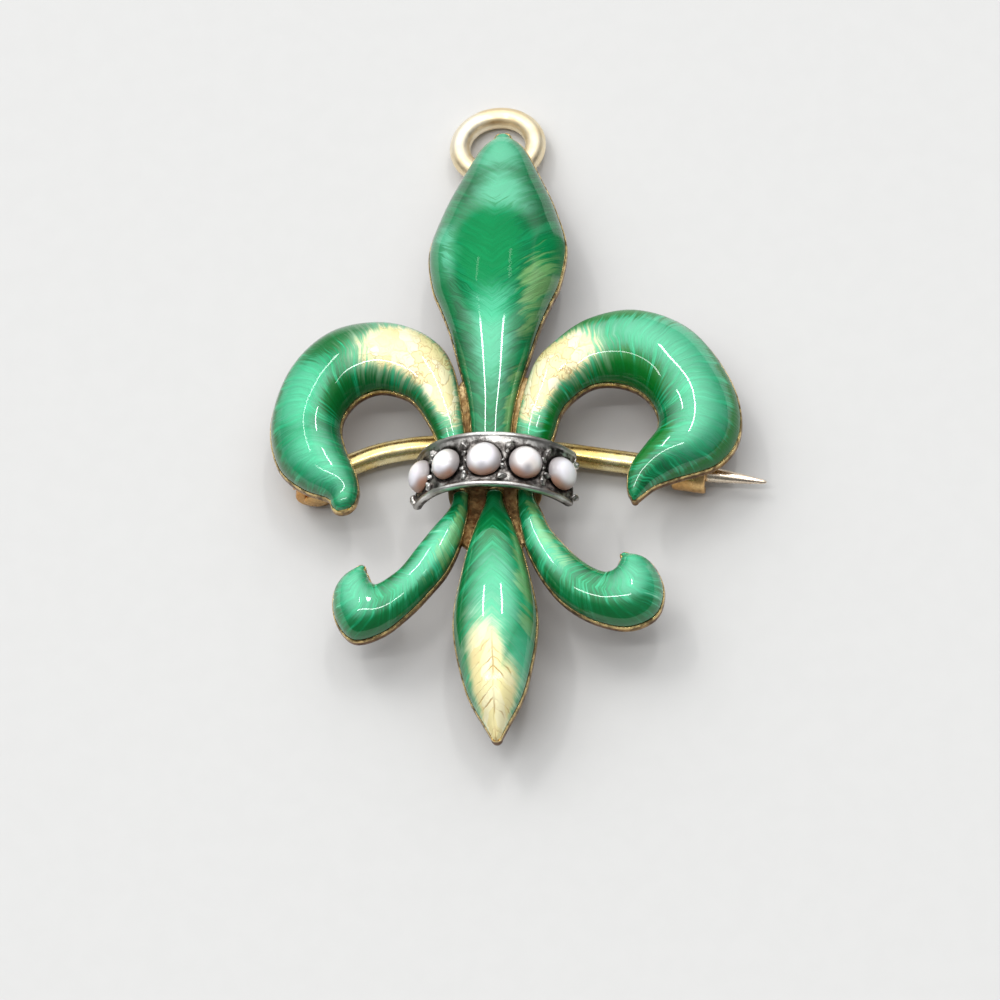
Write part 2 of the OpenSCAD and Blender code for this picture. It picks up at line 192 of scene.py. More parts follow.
def parted(tree, vector):
    return addNode(tree, "ShaderNodeSeparateXYZ", {0: vector}).outputs


def flowOf(tree):
    return addNode(tree, "ShaderNodeAttribute", attribute_name="flow").outputs["Vector"]


def objectPlace(tree):
    return addNode(tree, "ShaderNodeTexCoord").outputs["Object"]


def blended(tree, factor, a, b):
    return addNode(tree, "ShaderNodeMix", {0: factor, 2: a, 3: b}, data_type="FLOAT").outputs[0]


def raised(tree, shader, height, strength, distance):
    inputs = {"Height": height, "Strength": strength, "Distance": distance}
    tree.links.new(addNode(tree, "ShaderNodeBump", inputs).outputs["Normal"], shader.inputs["Normal"])


def mapped(tree, value, low, high, toLow=0.0, toHigh=1.0):
    return addNode(
        tree,
        "ShaderNodeMapRange",
        {"Value": value, "From Min": low, "From Max": high, "To Min": toLow, "To Max": toHigh},
        interpolation_type="SMOOTHSTEP",
    ).outputs["Result"]


def mixColours(tree, factor, a, b, blend="MIX"):
    made = tree.nodes.new("ShaderNodeMix")
    made.data_type = "RGBA"
    made.blend_type = blend
    for key, value in ((0, factor), (6, a), (7, b)):
        if isinstance(value, bpy.types.NodeSocket):
            tree.links.new(value, made.inputs[key])
        else:
            made.inputs[key].default_value = value
    return made.outputs[2]


def rampOf(tree, factor, stops):
    made = addNode(tree, "ShaderNodeValToRGB", {"Fac": factor})
    elements = made.color_ramp.elements
    while len(elements) < len(stops):
        elements.new(0.5)
    for element, (place, colour) in zip(elements, stops):
        element.position = place
        element.color = hexColour(colour)
    return made.outputs["Color"]


def noiseOf(tree, vector, scale, detail=2.0, roughness=0.5, distortion=0.0, output="Fac"):
    return addNode(
        tree,
        "ShaderNodeTexNoise",
        {
            "Vector": vector,
            "Scale": scale,
            "Detail": detail,
            "Roughness": roughness,
            "Distortion": distortion,
        },
    ).outputs[output]


def newMaterial(name):
    material = bpy.data.materials.new(name)
    material.use_nodes = True
    tree = material.node_tree
    shader = tree.nodes["Principled BSDF"]
    return material, tree, shader


def newGroup(name, inputs, outputs):
    tree = bpy.data.node_groups.new(name, "ShaderNodeTree")
    for label, kind, value in inputs:
        socket = tree.interface.new_socket(name=label, in_out="INPUT", socket_type=kind)
        if value is not None:
            socket.default_value = value
    for label, kind in outputs:
        tree.interface.new_socket(name=label, in_out="OUTPUT", socket_type=kind)
    start = tree.nodes.new("NodeGroupInput")
    end = tree.nodes.new("NodeGroupOutput")
    return tree, start.outputs, end.inputs


def useGroup(tree, group, inputs):
    return addNode(tree, "ShaderNodeGroup", inputs, node_tree=group).outputs


def setSockets(shader, values):
    for socket, value in values.items():
        shader.inputs[socket].default_value = value


floatSocket = "NodeSocketFloat"
vectorSocket = "NodeSocketVector"


# strokes cut in the gold under the enamel, leaning from the petal's middle line
def buildStrokes():
    tree, given, out = newGroup(
        "engravedStrokes",
        [
            ("Flow", vectorSocket, None),
            ("Slant", floatSocket, 0.7),
            ("Density", floatSocket, 3.0),
            ("Reach", floatSocket, 0.5),
            ("Wander", floatSocket, 0.3),
        ],
        [("Strokes", floatSocket), ("Cuts", floatSocket)],
    )
    parts = parted(tree, given["Flow"])
    across = maths(tree, "MULTIPLY", parts["X"], parts["Z"])
    lean = maths(tree, "MULTIPLY", maths(tree, "ABSOLUTE", across), given["Slant"])
    along = maths(tree, "SUBTRACT", parts["Y"], lean)
    waver = noiseOf(tree, given["Flow"], 1.3, 1.0)
    along = maths(tree, "MULTIPLY_ADD", waver, given["Wander"], along)
    cut = maths(tree, "MULTIPLY", along, given["Density"])
    sideways = maths(tree, "MULTIPLY", across, given["Reach"])
    place = joined(tree, cut, sideways)
    fine = noiseOf(tree, place, 1.6, 3.0, 0.62, 0.25)
    coarse = noiseOf(tree, place, 0.55, 1.0, 0.5, 0.2)
    both = maths(tree, "MULTIPLY_ADD", coarse, 0.45, maths(tree, "MULTIPLY", fine, 0.55))
    tree.links.new(mapped(tree, both, 0.36, 0.64), out["Strokes"])
    ridge = maths(tree, "ABSOLUTE", maths(tree, "SUBTRACT", fine, 0.47))
    tree.links.new(mapped(tree, ridge, 0.0, 0.028, 1.0, 0.0), out["Cuts"])
    return tree


# a soft-edged patch on a petal, its border ragged by the strokes
def buildPatch():
    tree, given, out = newGroup(
        "raggedPatch",
        [
            ("Flow", vectorSocket, None),
            ("Along", floatSocket, 5.0),
            ("Across", floatSocket, 0.0),
            ("Length", floatSocket, 1.0),
            ("Spread", floatSocket, 0.5),
            ("Lean", floatSocket, 0.0),
            ("Edge", floatSocket, 0.3),
            ("Ragged", floatSocket, 0.3),
            ("Strokes", floatSocket, 0.5),
        ],
        [("Mask", floatSocket)],
    )
    parts = parted(tree, given["Flow"])
    side = maths(tree, "SUBTRACT", parts["X"], given["Across"])
    forward = maths(tree, "SUBTRACT", parts["Y"], given["Along"])
    forward = maths(tree, "MULTIPLY_ADD", side, given["Lean"], forward)
    a = maths(tree, "DIVIDE", forward, given["Length"])
    b = maths(tree, "DIVIDE", side, given["Spread"])
    a = maths(tree, "POWER", maths(tree, "ABSOLUTE", a), 2.6)
    b = maths(tree, "POWER", maths(tree, "ABSOLUTE", b), 2.6)
    far = maths(tree, "POWER", maths(tree, "ADD", a, b), 0.385)
    shake = maths(tree, "SUBTRACT", given["Strokes"], 0.5)
    cloud = maths(tree, "SUBTRACT", noiseOf(tree, given["Flow"], 2.2, 2.0), 0.5)
    shake = maths(tree, "ADD", shake, cloud)
    far = maths(tree, "MULTIPLY_ADD", shake, given["Ragged"], far)
    near = maths(tree, "SUBTRACT", 1.0, given["Edge"])
    past = maths(tree, "ADD", 1.0, given["Edge"])
    tree.links.new(mapped(tree, far, near, past, 1.0, 0.0), out["Mask"])
    return tree


# short curved cuts in the bare gold under the clear enamel: overlapping fans, or a leaf's veins
def buildFeathers():
    tree, given, out = newGroup(
        "cutFeathers",
        [
            ("Flow", vectorSocket, None),
            ("Density", floatSocket, 1.5),
            ("Slant", floatSocket, 0.8),
            ("Fineness", floatSocket, 26.0),
            ("Leaf", floatSocket, 0.0),
        ],
        [("Lines", floatSocket), ("Shade", floatSocket)],
    )
    parts = parted(tree, given["Flow"])
    across = maths(tree, "MULTIPLY", parts["X"], parts["Z"])
    lean = maths(tree, "MULTIPLY", maths(tree, "ABSOLUTE", across), given["Slant"])
    along = maths(tree, "SUBTRACT", parts["Y"], lean)
    place = joined(tree, along, across)
    bend = noiseOf(tree, place, 1.9, 2.0, output="Color")
    place = vectorMaths(tree, "MULTIPLY_ADD", bend, (0.7, 0.7, 0.7), place)
    cells = {"Vector": place, "Scale": given["Density"], "Randomness": 0.85}
    fans = addNode(tree, "ShaderNodeTexVoronoi", cells, feature="F1").outputs
    borders = addNode(tree, "ShaderNodeTexVoronoi", cells, feature="DISTANCE_TO_EDGE").outputs["Distance"]
    arcs = maths(tree, "SINE", maths(tree, "MULTIPLY", fans["Distance"], given["Fineness"]))
    arcs = mapped(tree, arcs, 0.45, 1.0)
    fades = mapped(tree, noiseOf(tree, place, 1.3, 2.0), 0.36, 0.6)
    arcs = maths(tree, "MULTIPLY", arcs, fades)
    seams = mapped(tree, borders, 0.0, 0.07, 0.75, 0.0)
    scales = maths(tree, "MAXIMUM", arcs, seams)
    sway = maths(tree, "MULTIPLY_ADD", noiseOf(tree, given["Flow"], 1.6, 2.0), 0.5, along)
    veins = mapped(tree, maths(tree, "SINE", maths(tree, "MULTIPLY", sway, 15.0)), 0.7, 1.0)
    veins = maths(tree, "MULTIPLY", veins, fades)
    sway = maths(tree, "MULTIPLY_ADD", noiseOf(tree, given["Flow"], 0.9, 1.0), 0.16, across)
    offMiddle = maths(tree, "ABSOLUTE", maths(tree, "SUBTRACT", sway, 0.08))
    veins = maths(tree, "MAXIMUM", veins, mapped(tree, offMiddle, 0.0, 0.05, 0.9, 0.0))
    tree.links.new(blended(tree, given["Leaf"], scales, veins), out["Lines"])
    tree.links.new(parted(tree, fans["Color"])["X"], out["Shade"])
    return tree


strokesGroup = buildStrokes()
patchGroup = buildPatch()
feathersGroup = buildFeathers()


# materials

enamelLook = {
    "greens": [
        (0.0, "#004C24"), (0.3, "#007040"), (0.55, "#00945A"), (0.8, "#2CB982"), (1.0, "#B0F4D0"),
    ],
    "creams": [(0.0, "#FBF4CC"), (0.5, "#F5E9AC"), (1.0, "#EDDB9C")],
    "cutTone": "#007434",
    # painted shade and dark reflection for the darker patches
    "paintedShadeTone": "#007434",
    # painted highlight for the pale mint patches
    "paintedHighlightTone": "#66D8AA",
    "strawTone": "#C0EE96",
    # painted shade on the steep flanks
    "flankShadeTone": "#006232",
    "fringeTone": "#C4F2C8",
    "lineTone": "#B48A4A",
    # how soft and how ragged the border of each patch is
    "paintedShadeEdge": (0.3, 0.7),
    "dullEdge": (0.3, 0.0),
    "paintedHighlightEdge": (0.6, 0.5),
    "strawEdge": (0.5, 1.1),
    "creamEdge": (0.14, 0.2),
    "fringeEdge": (0.5, 0.35),
    # how far each patch hides the greens under it
    "paintedShadeShare": 0.7,
    "paintedHighlightShare": 0.62,
    "strawShare": 0.3,
    "fringeShare": 0.8,
    "flankShadeShare": 0.55,
    "flankShadeRange": (0.78, 0.98),
    "drawn": (0.4, 0.54),
    "dullCoat": 0.9,
    "leaf": 0.0,
    "cutBump": 0.35,
    "cutDepth": 0.06,
    "shader": {
        "Metallic": 0.3,
        "Roughness": 0.42,
        "Specular IOR Level": 0.1,
        "Coat Roughness": 0.04,
        "Coat IOR": 1.62,
    },
}


def enamelMaterial(name, petal):
    look = dict(enamelLook, **petal)  # a petal may have its own edges, shares and coat
    material, tree, shader = newMaterial(name)
    flow = flowOf(tree)
    cut = petal["strokes"]
    cuts = {key.capitalize(): cut[key] for key in ("slant", "density", "reach", "wander")}
    engraved = useGroup(tree, strokesGroup, {"Flow": flow, **cuts})
    strokes = engraved["Strokes"]

    def patches(rows, edge, ragged):
        mask = None
        for row in rows:
            inputs = {"Flow": flow, "Edge": edge, "Ragged": ragged, "Strokes": strokes}
            inputs.update(zip(("Along", "Across", "Length", "Spread", "Lean"), row))
            one = useGroup(tree, patchGroup, inputs)["Mask"]
            mask = one if mask is None else maths(tree, "MAXIMUM", mask, one)
        return mask

    cloud = noiseOf(tree, flow, 0.55, 2.0)
    tone = maths(tree, "MULTIPLY_ADD", maths(tree, "SUBTRACT", cloud, 0.5), 0.5, strokes)
    tone = maths(tree, "MULTIPLY_ADD", tone, cut["contrast"], cut["level"], clamp=True)
    colour = rampOf(tree, tone, look["greens"])
    cutLines = maths(tree, "MULTIPLY", engraved["Cuts"], cut["lines"])
    colour = mixColours(tree, cutLines, colour, hexColour(look["cutTone"]))

    # painted highlight: pale mint patches where the enamel would catch the light
    paintedHighlight = maths(tree, "MULTIPLY", patches(petal["paintedHighlight"], *look["paintedHighlightEdge"]), look["paintedHighlightShare"])
    colour = mixColours(tree, paintedHighlight, colour, hexColour(look["paintedHighlightTone"]))

    # painted shade and dark reflection: darker patches on the flanks, at the roots under the band and in
    # the top petal's middle
    paintedShade = patches(petal["paintedShade"], *look["paintedShadeEdge"])
    darker = mixColours(tree, look["paintedShadeShare"], colour, hexColour(look["paintedShadeTone"]))
    colour = mixColours(tree, paintedShade, colour, darker)
    duller = patches(petal.get("dull", petal["paintedShade"]), *look["dullEdge"])
    coat = mapped(tree, duller, 0.0, 0.8, 1.0, look["dullCoat"])
    tree.links.new(coat, shader.inputs["Coat Weight"])

    if "straw" in petal:
        straw = maths(tree, "MULTIPLY", patches(petal["straw"], *look["strawEdge"]), look["strawShare"])
        colour = mixColours(tree, straw, colour, hexColour(look["strawTone"]))

    # painted shade, darker on the steep flanks toward the rims
    share = parted(tree, flow)["X"]
    edge = mapped(tree, maths(tree, "ABSOLUTE", share), *look["flankShadeRange"], 0.0, look["flankShadeShare"])
    colour = mixColours(tree, edge, colour, hexColour(look["flankShadeTone"]))

    bump = strokes
    if "cream" in petal:
        cream = patches(petal["cream"], *look["creamEdge"])
        fringe = patches(petal["cream"], *look["fringeEdge"])
        fringe = maths(tree, "MULTIPLY", fringe, look["fringeShare"])
        inputs = {"Flow": flow, "Density": petal["feather"], "Slant": cut["slant"], "Leaf": look["leaf"]}
        feathers = useGroup(tree, feathersGroup, inputs)
        bare = rampOf(tree, feathers["Shade"], look["creams"])
        drawn = mapped(tree, noiseOf(tree, flow, 0.8, 1.0), *look["drawn"], 0.1, 0.85)
        lines = maths(tree, "MULTIPLY", feathers["Lines"], drawn)
        bare = mixColours(tree, lines, bare, hexColour(look["lineTone"]))
        colour = mixColours(tree, fringe, colour, hexColour(look["fringeTone"]))
        colour = mixColours(tree, cream, colour, bare)
        bump = blended(tree, cream, strokes, maths(tree, "SUBTRACT", 1.0, feathers["Lines"]))

    tree.links.new(colour, shader.inputs["Base Color"])
    raised(tree, shader, bump, look["cutBump"], look["cutDepth"] * mm)
    setSockets(shader, look["shader"])
    return material


def metalMaterial(name, look):
    material, tree, shader = newMaterial(name)
    place = objectPlace(tree)
    cloud = noiseOf(tree, place, look["cloudScale"] / mm, 4.0, 0.6)
    fine = noiseOf(tree, place, look["grainScale"] / mm, 3.0, 0.6)
    colour = rampOf(tree, mapped(tree, cloud, 0.3, 0.7), look["tones"])
    if "rim" in look:
        worn = parted(tree, flowOf(tree))["X"]
        worn = mapped(tree, maths(tree, "MULTIPLY_ADD", fine, 0.4, worn), 0.75, 1.25)
        colour = mixColours(tree, worn, colour, hexColour(look["rim"]))
    if "pale" in look:
        # paler toward +X, toward the pin's point
        towardPoint = parted(tree, place)["X"]
        towardPoint = mapped(tree, towardPoint, look["paleFrom"] * mm, look["paleFull"] * mm, 0.0, look["paleShare"])
        colour = mixColours(tree, towardPoint, colour, hexColour(look["pale"]))
    dirt = mapped(tree, fine, look["grimeLow"], look["grimeHigh"], 0.0, look["grimeShare"])
    colour = mixColours(tree, dirt, colour, hexColour(look["grime"]))
    tree.links.new(colour, shader.inputs["Base Color"])
    rough = mapped(tree, fine, 0.25, 0.75, look["roughLow"], look["roughHigh"])
    tree.links.new(rough, shader.inputs["Roughness"])
    raised(tree, shader, fine, look["bump"], look["bumpDepth"] * mm)
    shader.inputs["Metallic"].default_value = 1.0
    return material


goldLook = {
    "cloudScale": 0.35,
    "grainScale": 3.0,
    "tones": [(0.0, "#C98E4E"), (0.5, "#D9A866"), (1.0, "#E8C286")],
    "grime": "#6E3A18",
    "grimeLow": 0.5,
    "grimeHigh": 0.8,
    "grimeShare": 0.6,
    "roughLow": 0.22,
    "roughHigh": 0.42,
    "bump": 0.25,
    "bumpDepth": 0.03,
}
# painted shade: dark browns on the petals' walls; the pale rim along their top is worn gold
trayLook = dict(
    goldLook,
    tones=[(0.0, "#5E3A1C"), (0.5, "#8C6636"), (1.0, "#BE9A5C")],
    rim="#E6CC8C",
    grime="#3E2614",
    grimeLow=0.4,
    grimeHigh=0.65,
    grimeShare=0.8,
)
webLook = dict(
    goldLook,
    tones=[(0.0, "#5A4028"), (0.5, "#94784E"), (1.0, "#CDB588")],
    grainScale=5.0,
    grimeShare=0.9,
    roughLow=0.4,
    roughHigh=0.7,
    bump=0.8,
    bumpDepth=0.08,
)
# painted light: near-white tones draw the ring's gold as if brightly lit
ringLook = dict(
    goldLook,
    tones=[(0.0, "#ECD3A4"), (0.5, "#F6E5C0"), (1.0, "#FDF3DC")],
    grime="#B88A50",
    grimeLow=0.6,
    grimeHigh=0.85,
    grimeShare=0.3,
    roughLow=0.32,
    roughHigh=0.5,
)
stemLook = dict(
    goldLook,
    tones=[(0.0, "#CDA552"), (0.5, "#E8CE84"), (1.0, "#FAEDBC")],
    grimeShare=0.3,
    roughLow=0.2,
    roughHigh=0.34,
    bump=0.12,
    pale="#F6E8DC",
    paleFrom=8.2,
    paleFull=9.6,
    paleShare=0.75,
)

goldMaterial = metalMaterial("wornGold", goldLook)
trayMaterial = metalMaterial("trayGold", trayLook)
webMaterial = metalMaterial("roughGold", webLook)
ringMaterial = metalMaterial("paleGold", ringLook)
stemMaterial = metalMaterial("stemGold", stemLook)


# petals

# in each petal below, the darker patches are painted shade and dark reflection, the mint patches painted
# highlight
topPetal = {
    "length": 17.6,
    "width": 6.26,
    "lean": 0.4,
    "relief": 0.53,
    # columns: distance along the petal, half width
    "rows": [
        (0.017, 0.27), (0.048, 0.27), (0.153, 0.316), (0.23, 0.387), (0.308, 0.5), (0.407, 0.65),
        (0.481, 0.8), (0.538, 0.923), (0.622, 1.0), (0.68, 0.978), (0.744, 0.872),
        (0.802, 0.757), (0.867, 0.597), (0.946, 0.395), (0.98, 0.27), (1.0, 0.14),
    ],
    "strokes": {
        "slant": 0.8, "density": 3.4, "reach": 0.35, "wander": 0.5,
        "contrast": 0.3, "level": 0.15, "lines": 0.25,
    },
    # columns: distance along, place across, half length, half width, lean
    "paintedShade": [(10.6, -0.1, 2.1, 0.5, 0.0), (10.3, 0.84, 1.0, 0.26, 0.0), (9.2, -0.92, 1.8, 0.2, 0.0)],
    "paintedShadeTone": "#008448",
    "dullCoat": 0.04,
    "paintedShadeEdge": (0.14, 0.6),
    "dull": [(9.7, 0.0, 2.9, 0.6, 0.0), (10.3, 0.84, 1.0, 0.26, 0.0)],
    "paintedHighlight": [
        (16.3, 0.0, 1.2, 0.6, 0.0), (13.6, 0.1, 1.2, 0.4, 0.0), (6.0, 0.0, 2.2, 0.4, 0.0),
        (10.6, -0.75, 1.2, 0.2, 0.0),
    ],
    "straw": [(8.4, 0.74, 1.5, 0.2, 0.0), (2.6, 0.85, 1.4, 0.2, 0.0)],
}
bottomPetal = {
    "length": -12.3,
    "width": 3.78,
    "lean": 0.0,
    "relief": 0.7,
    "rows": [
        (0.056, 0.22), (0.1, 0.22), (0.132, 0.28), (0.203, 0.466), (0.29, 0.65), (0.387, 0.804),
        (0.494, 0.952), (0.579, 1.0), (0.664, 0.952), (0.744, 0.852), (0.831, 0.704),
        (0.892, 0.534), (0.952, 0.312), (1.0, 0.14),
    ],
    "strokes": {
        "slant": 0.95, "density": 3.4, "reach": 0.3, "wander": 0.25,
        "contrast": 0.52, "level": 0.18, "lines": 0.35,
    },
    "cream": [(9.7, -0.2, 2.9, 0.5, 0.0), (10.6, 0.25, 2.1, 0.55, 0.0), (11.4, 0.0, 1.4, 0.9, 0.0)],
    "creamEdge": (0.22, 0.12),
    "feather": 1.5,
    "leaf": 0.9,
    "dull": [(9.4, 0.0, 1.2, 0.6, 0.0)],
    "dullCoat": 0.2,
    "paintedHighlight": [(5.6, 0.1, 2.0, 0.5, 0.0), (8.4, 0.72, 1.4, 0.26, 0.0)],
    "straw": [(4.4, 0.85, 2.2, 0.18, 0.0)],
    "paintedShade": [(1.2, 0.0, 1.4, 1.2, 0.0), (6.6, -0.9, 2.6, 0.25, 0.0)],
}
# columns: inner x, inner y, outer x, outer y
leftWing = {
    "reach": -10.2,
    "height": 8.05,
    "relief": 0.78,
    "rows": [
        (0.236, 0.037, 0.112, 0.037), (0.238, 0.106, 0.115, 0.106), (0.266, 0.26, 0.13, 0.298),
        (0.347, 0.45, 0.18, 0.672), (0.414, 0.521, 0.284, 0.876), (0.512, 0.559, 0.486, 0.993),
        (0.6, 0.521, 0.732, 0.966), (0.658, 0.436, 0.915, 0.76), (0.675, 0.338, 1.0, 0.44),
        (0.651, 0.21, 0.964, 0.158), (0.61, 0.081, 0.854, 0.003), (0.593, -0.03, 0.742, -0.067),
        (0.6, -0.088, 0.722, -0.11),
    ],
    "strokes": {
        "slant": 0.25, "density": 6.4, "reach": 0.3, "wander": 0.45,
        "contrast": 0.62, "level": 0.13, "lines": 0.5,
    },
    "cream": [(5.0, 0.14, 2.9, 0.72, 0.9)],
    "feather": 1.7,
    "paintedShade": [
        (7.6, -0.9, 1.4, 0.35, 0.0), (10.4, -0.85, 1.6, 0.4, 0.0), (2.6, -0.9, 2.6, 0.4, 0.0),
        (11.0, 1.0, 6.0, 0.2, 0.0), (8.9, 0.6, 1.5, 0.45, 0.0), (5.0, 0.98, 3.0, 0.14, 0.0),
    ],
    "paintedShadeTone": "#006420",
    "paintedShadeShare": 0.85,
    "dull": [(7.6, -0.9, 1.4, 0.35, 0.0), (10.4, -0.85, 1.6, 0.4, 0.0), (12.2, 0.3, 3.6, 0.5, 0.0)],
    "dullCoat": 0.3,
    "paintedHighlight": [(15.0, 0.0, 1.8, 0.6, 0.0), (11.6, 0.2, 1.7, 0.5, 0.0)],
}
rightWing = {
    "reach": 10.85,
    "height": 8.05,
    "relief": 0.78,
    "rows": [
        (0.208, 0.037, 0.098, 0.037), (0.21, 0.106, 0.09, 0.106), (0.245, 0.22, 0.083, 0.278),
        (0.282, 0.378, 0.151, 0.646), (0.372, 0.499, 0.253, 0.817), (0.453, 0.532, 0.393, 0.949),
        (0.547, 0.51, 0.596, 0.996), (0.619, 0.442, 0.816, 0.868), (0.659, 0.338, 0.971, 0.548),
        (0.654, 0.24, 1.0, 0.253), (0.606, 0.148, 0.913, 0.048), (0.548, 0.032, 0.733, -0.049),
        (0.534, -0.07, 0.65, -0.096), (0.538, -0.132, 0.603, -0.148), (0.549, -0.162, 0.582, -0.171),
    ],
    "strokes": {
        "slant": 0.25, "density": 6.4, "reach": 0.3, "wander": 0.45,
        "contrast": 0.72, "level": 0.09, "lines": 0.55,
    },
    "cream": [(4.2, 0.16, 2.3, 0.72, 0.9)],
    "feather": 1.7,
    "paintedShade": [
        (8.2, -0.85, 2.8, 0.45, 0.0), (2.4, -0.9, 2.2, 0.4, 0.0), (7.2, 0.85, 2.0, 0.35, 0.0),
        (13.6, 1.0, 4.0, 0.2, 0.0), (15.6, -0.7, 1.4, 0.3, 0.0),
    ],
    "paintedShadeTone": "#00741A",
    "paintedShadeShare": 0.88,
    "dullCoat": 0.45,
    "paintedHighlight": [(9.8, 0.3, 2.4, 0.55, 0.0), (13.2, 0.15, 2.4, 0.5, 0.0)],
}
leftScroll = {
    "reach": -7.23,
    "height": -7.5,
    "relief": 0.8,
    "rows": [
        (0.26, 0.09, 0.15, 0.09), (0.265, 0.168, 0.155, 0.168), (0.293, 0.225, 0.163, 0.265),
        (0.379, 0.321, 0.207, 0.442), (0.483, 0.447, 0.286, 0.608), (0.575, 0.56, 0.391, 0.732),
        (0.65, 0.617, 0.52, 0.857), (0.718, 0.655, 0.687, 0.971), (0.748, 0.645, 0.873, 1.0),
        (0.761, 0.625, 0.985, 0.861), (0.768, 0.606, 1.0, 0.696), (0.78, 0.58, 0.942, 0.594),
        (0.795, 0.56, 0.845, 0.53),
    ],
    "strokes": {
        "slant": 0.5, "density": 4.2, "reach": 0.4, "wander": 0.35,
        "contrast": 0.7, "level": 0.14, "lines": 0.45,
    },
    "paintedHighlight": [(3.6, 0.1, 2.0, 0.5, 0.0), (8.6, -0.1, 1.6, 0.6, 0.0)],
    "straw": [(1.8, 0.5, 1.5, 0.35, 0.0)],
    "paintedShade": [(0.6, 0.0, 0.8, 1.2, 0.0), (5.6, 0.8, 2.0, 0.35, 0.0), (9.4, 0.9, 2.0, 0.25, 0.0)],
}
rightScroll = {
    "reach": 7.4,
    "height": -7.5,
    "relief": 0.8,
    "rows": [
        (0.24, 0.09, 0.13, 0.09), (0.245, 0.168, 0.132, 0.168), (0.281, 0.246, 0.138, 0.266),
        (0.328, 0.357, 0.162, 0.407), (0.392, 0.441, 0.196, 0.522), (0.474, 0.531, 0.278, 0.688),
        (0.568, 0.607, 0.4, 0.842), (0.65, 0.646, 0.576, 0.956), (0.69, 0.64, 0.785, 1.0),
        (0.708, 0.627, 0.955, 0.919), (0.72, 0.609, 1.0, 0.746), (0.732, 0.585, 0.92, 0.578),
        (0.745, 0.555, 0.79, 0.526),
    ],
    "strokes": {
        "slant": 0.5, "density": 4.2, "reach": 0.4, "wander": 0.35,
        "contrast": 0.7, "level": 0.14, "lines": 0.45,
    },
    "paintedHighlight": [(3.0, 0.0, 1.6, 0.45, 0.0), (8.8, 0.0, 1.5, 0.6, 0.0)],
    "straw": [(2.0, -0.3, 1.8, 0.35, 0.0)],
    "paintedShade": [(0.6, 0.0, 0.8, 1.2, 0.0), (6.2, 0.75, 2.2, 0.4, 0.0), (5.2, -0.9, 1.6, 0.25, 0.0)],
}


def petalRibs(petal):
    # each rib is the middle of a cross-section and the arrow from there to its outer edge
    ribs = []
    for row in smoothRows(petal["rows"], flower["rowSteps"]):
        if "lean" in petal:
            middle = Vector((petal["lean"] * (row[0] - 0.5), row[0] * petal["length"]))
            arrow = Vector((row[1] * petal["width"] / 2, 0))
        else:
            inner = Vector((row[0] * petal["reach"], row[1] * petal["height"]))
            outer = Vector((row[2] * petal["reach"], row[3] * petal["height"]))
            middle, arrow = (inner + outer) / 2, (outer - inner) / 2
        ribs.append((middle, arrow))
    return ribs


def roundedTip(ribs, shrink):
    # closes the end of a petal with narrowing ribs
    middle, arrow = ribs[-1]
    forward = (middle - ribs[-2][0]).normalized()
    half = arrow.length
    more = [(0.25, 0.94), (0.5, 0.78), (0.68, 0.5), (0.76, 0.2)]
    return ribs + [(middle + forward * (half * far - shrink), arrow * narrow) for far, narrow in more]


def sectionRing(middle, arrow, profile):
    half = arrow.length
    ring = []
    for across, height in profile:
        flat = middle + arrow * (across / half)
        ring.append(Vector((flat.x, flat.y, backAt(flat.x, flat.y) + height)))
    return ring


def trayProfile(half, relief):
    fit = min(1, half / 0.5)
    wall, rim = flower["wall"], flower["rim"]
    dome = max(half - rim - flower["skin"], flower["tipShare"] * half) - 0.02
    rise = relief * half - min(flower["skin"], 0.3 * relief * half)
    left = [
        (-half + 0.1 * fit, 0),
        (-half, 0.1),
        (-half, wall * 0.55),
        (-half, wall - 0.05),
        (-half + 0.02 * fit, wall + 0.02),
        (-half + 0.05 * fit, wall + 0.045),
        (-half + rim * fit, wall + 0.02),
        (-half + (rim + 0.03) * fit, wall - 0.03),
    ]
    arch = [(-dome * cos(pi * k / 8), wall - 0.02 + rise * sin(pi * k / 8)) for k in range(1, 8)]
    return left + arch + [(-a, h) for a, h in reversed(left)]


def enamelProfile(half, relief):
    wall, seam = flower["wall"], flower["seam"]
    edge = half - min(flower["rim"], 0.3 * half)
    inside = max(half - flower["rim"] - flower["skin"], flower["tipShare"] * half * 0.9)
    rise = relief * half
    low = rise - min(flower["skin"], 0.3 * relief * half)
    outerArch = [(-edge * cos(pi * k / 28), wall + seam + rise * sin(pi * k / 28)) for k in range(29)]
    innerArch = [(inside * cos(pi * k / 12), wall + seam + low * sin(pi * k / 12)) for k in range(13)]
    return outerArch + innerArch


def handmade(point, size, amount):
    return amount * noise.noise(Vector(point) * size)


def makePetal(name, petal, node):
    ribs = petalRibs(petal)
    trayRibs = roundedTip(ribs, 0)
    rings, flows = [], []
    for middle, arrow in trayRibs:
        profile = trayProfile(arrow.length, petal["relief"])
        rings.append(sectionRing(middle, arrow, profile))
        flows.append([Vector((smoothStep(0.15, flower["wall"], height), 0, 0)) for _, height in profile])
    finishPiece(name + "Tray", loftRings(rings, flows), trayMaterial, level=1)

    skinRibs = roundedTip(ribs[flower["rowSteps"] // 2 :], flower["rim"] * 0.6)
    rings, flows = [], []
    travel = 0
    for i, (middle, arrow) in enumerate(skinRibs):
        if i:
            travel += (middle - skinRibs[i - 1][0]).length
        half = arrow.length
        profile = enamelProfile(half, petal["relief"])
        ring = sectionRing(middle, arrow, profile)
        for point, (across, height) in zip(ring, profile):
            lift = (height - flower["wall"]) / max(petal["relief"] * half, 0.01)
            point.z += handmade(point, flower["waveScale"], flower["waves"]) * lift
        rings.append(ring)
        flows.append([Vector((across / half, travel, half)) for across, height in profile])
    finishPiece(
        name + "Enamel",
        loftRings(rings, flows),
        enamelMaterial(name + "Green", petal),
        level=1,
        replaced=[node],
    )


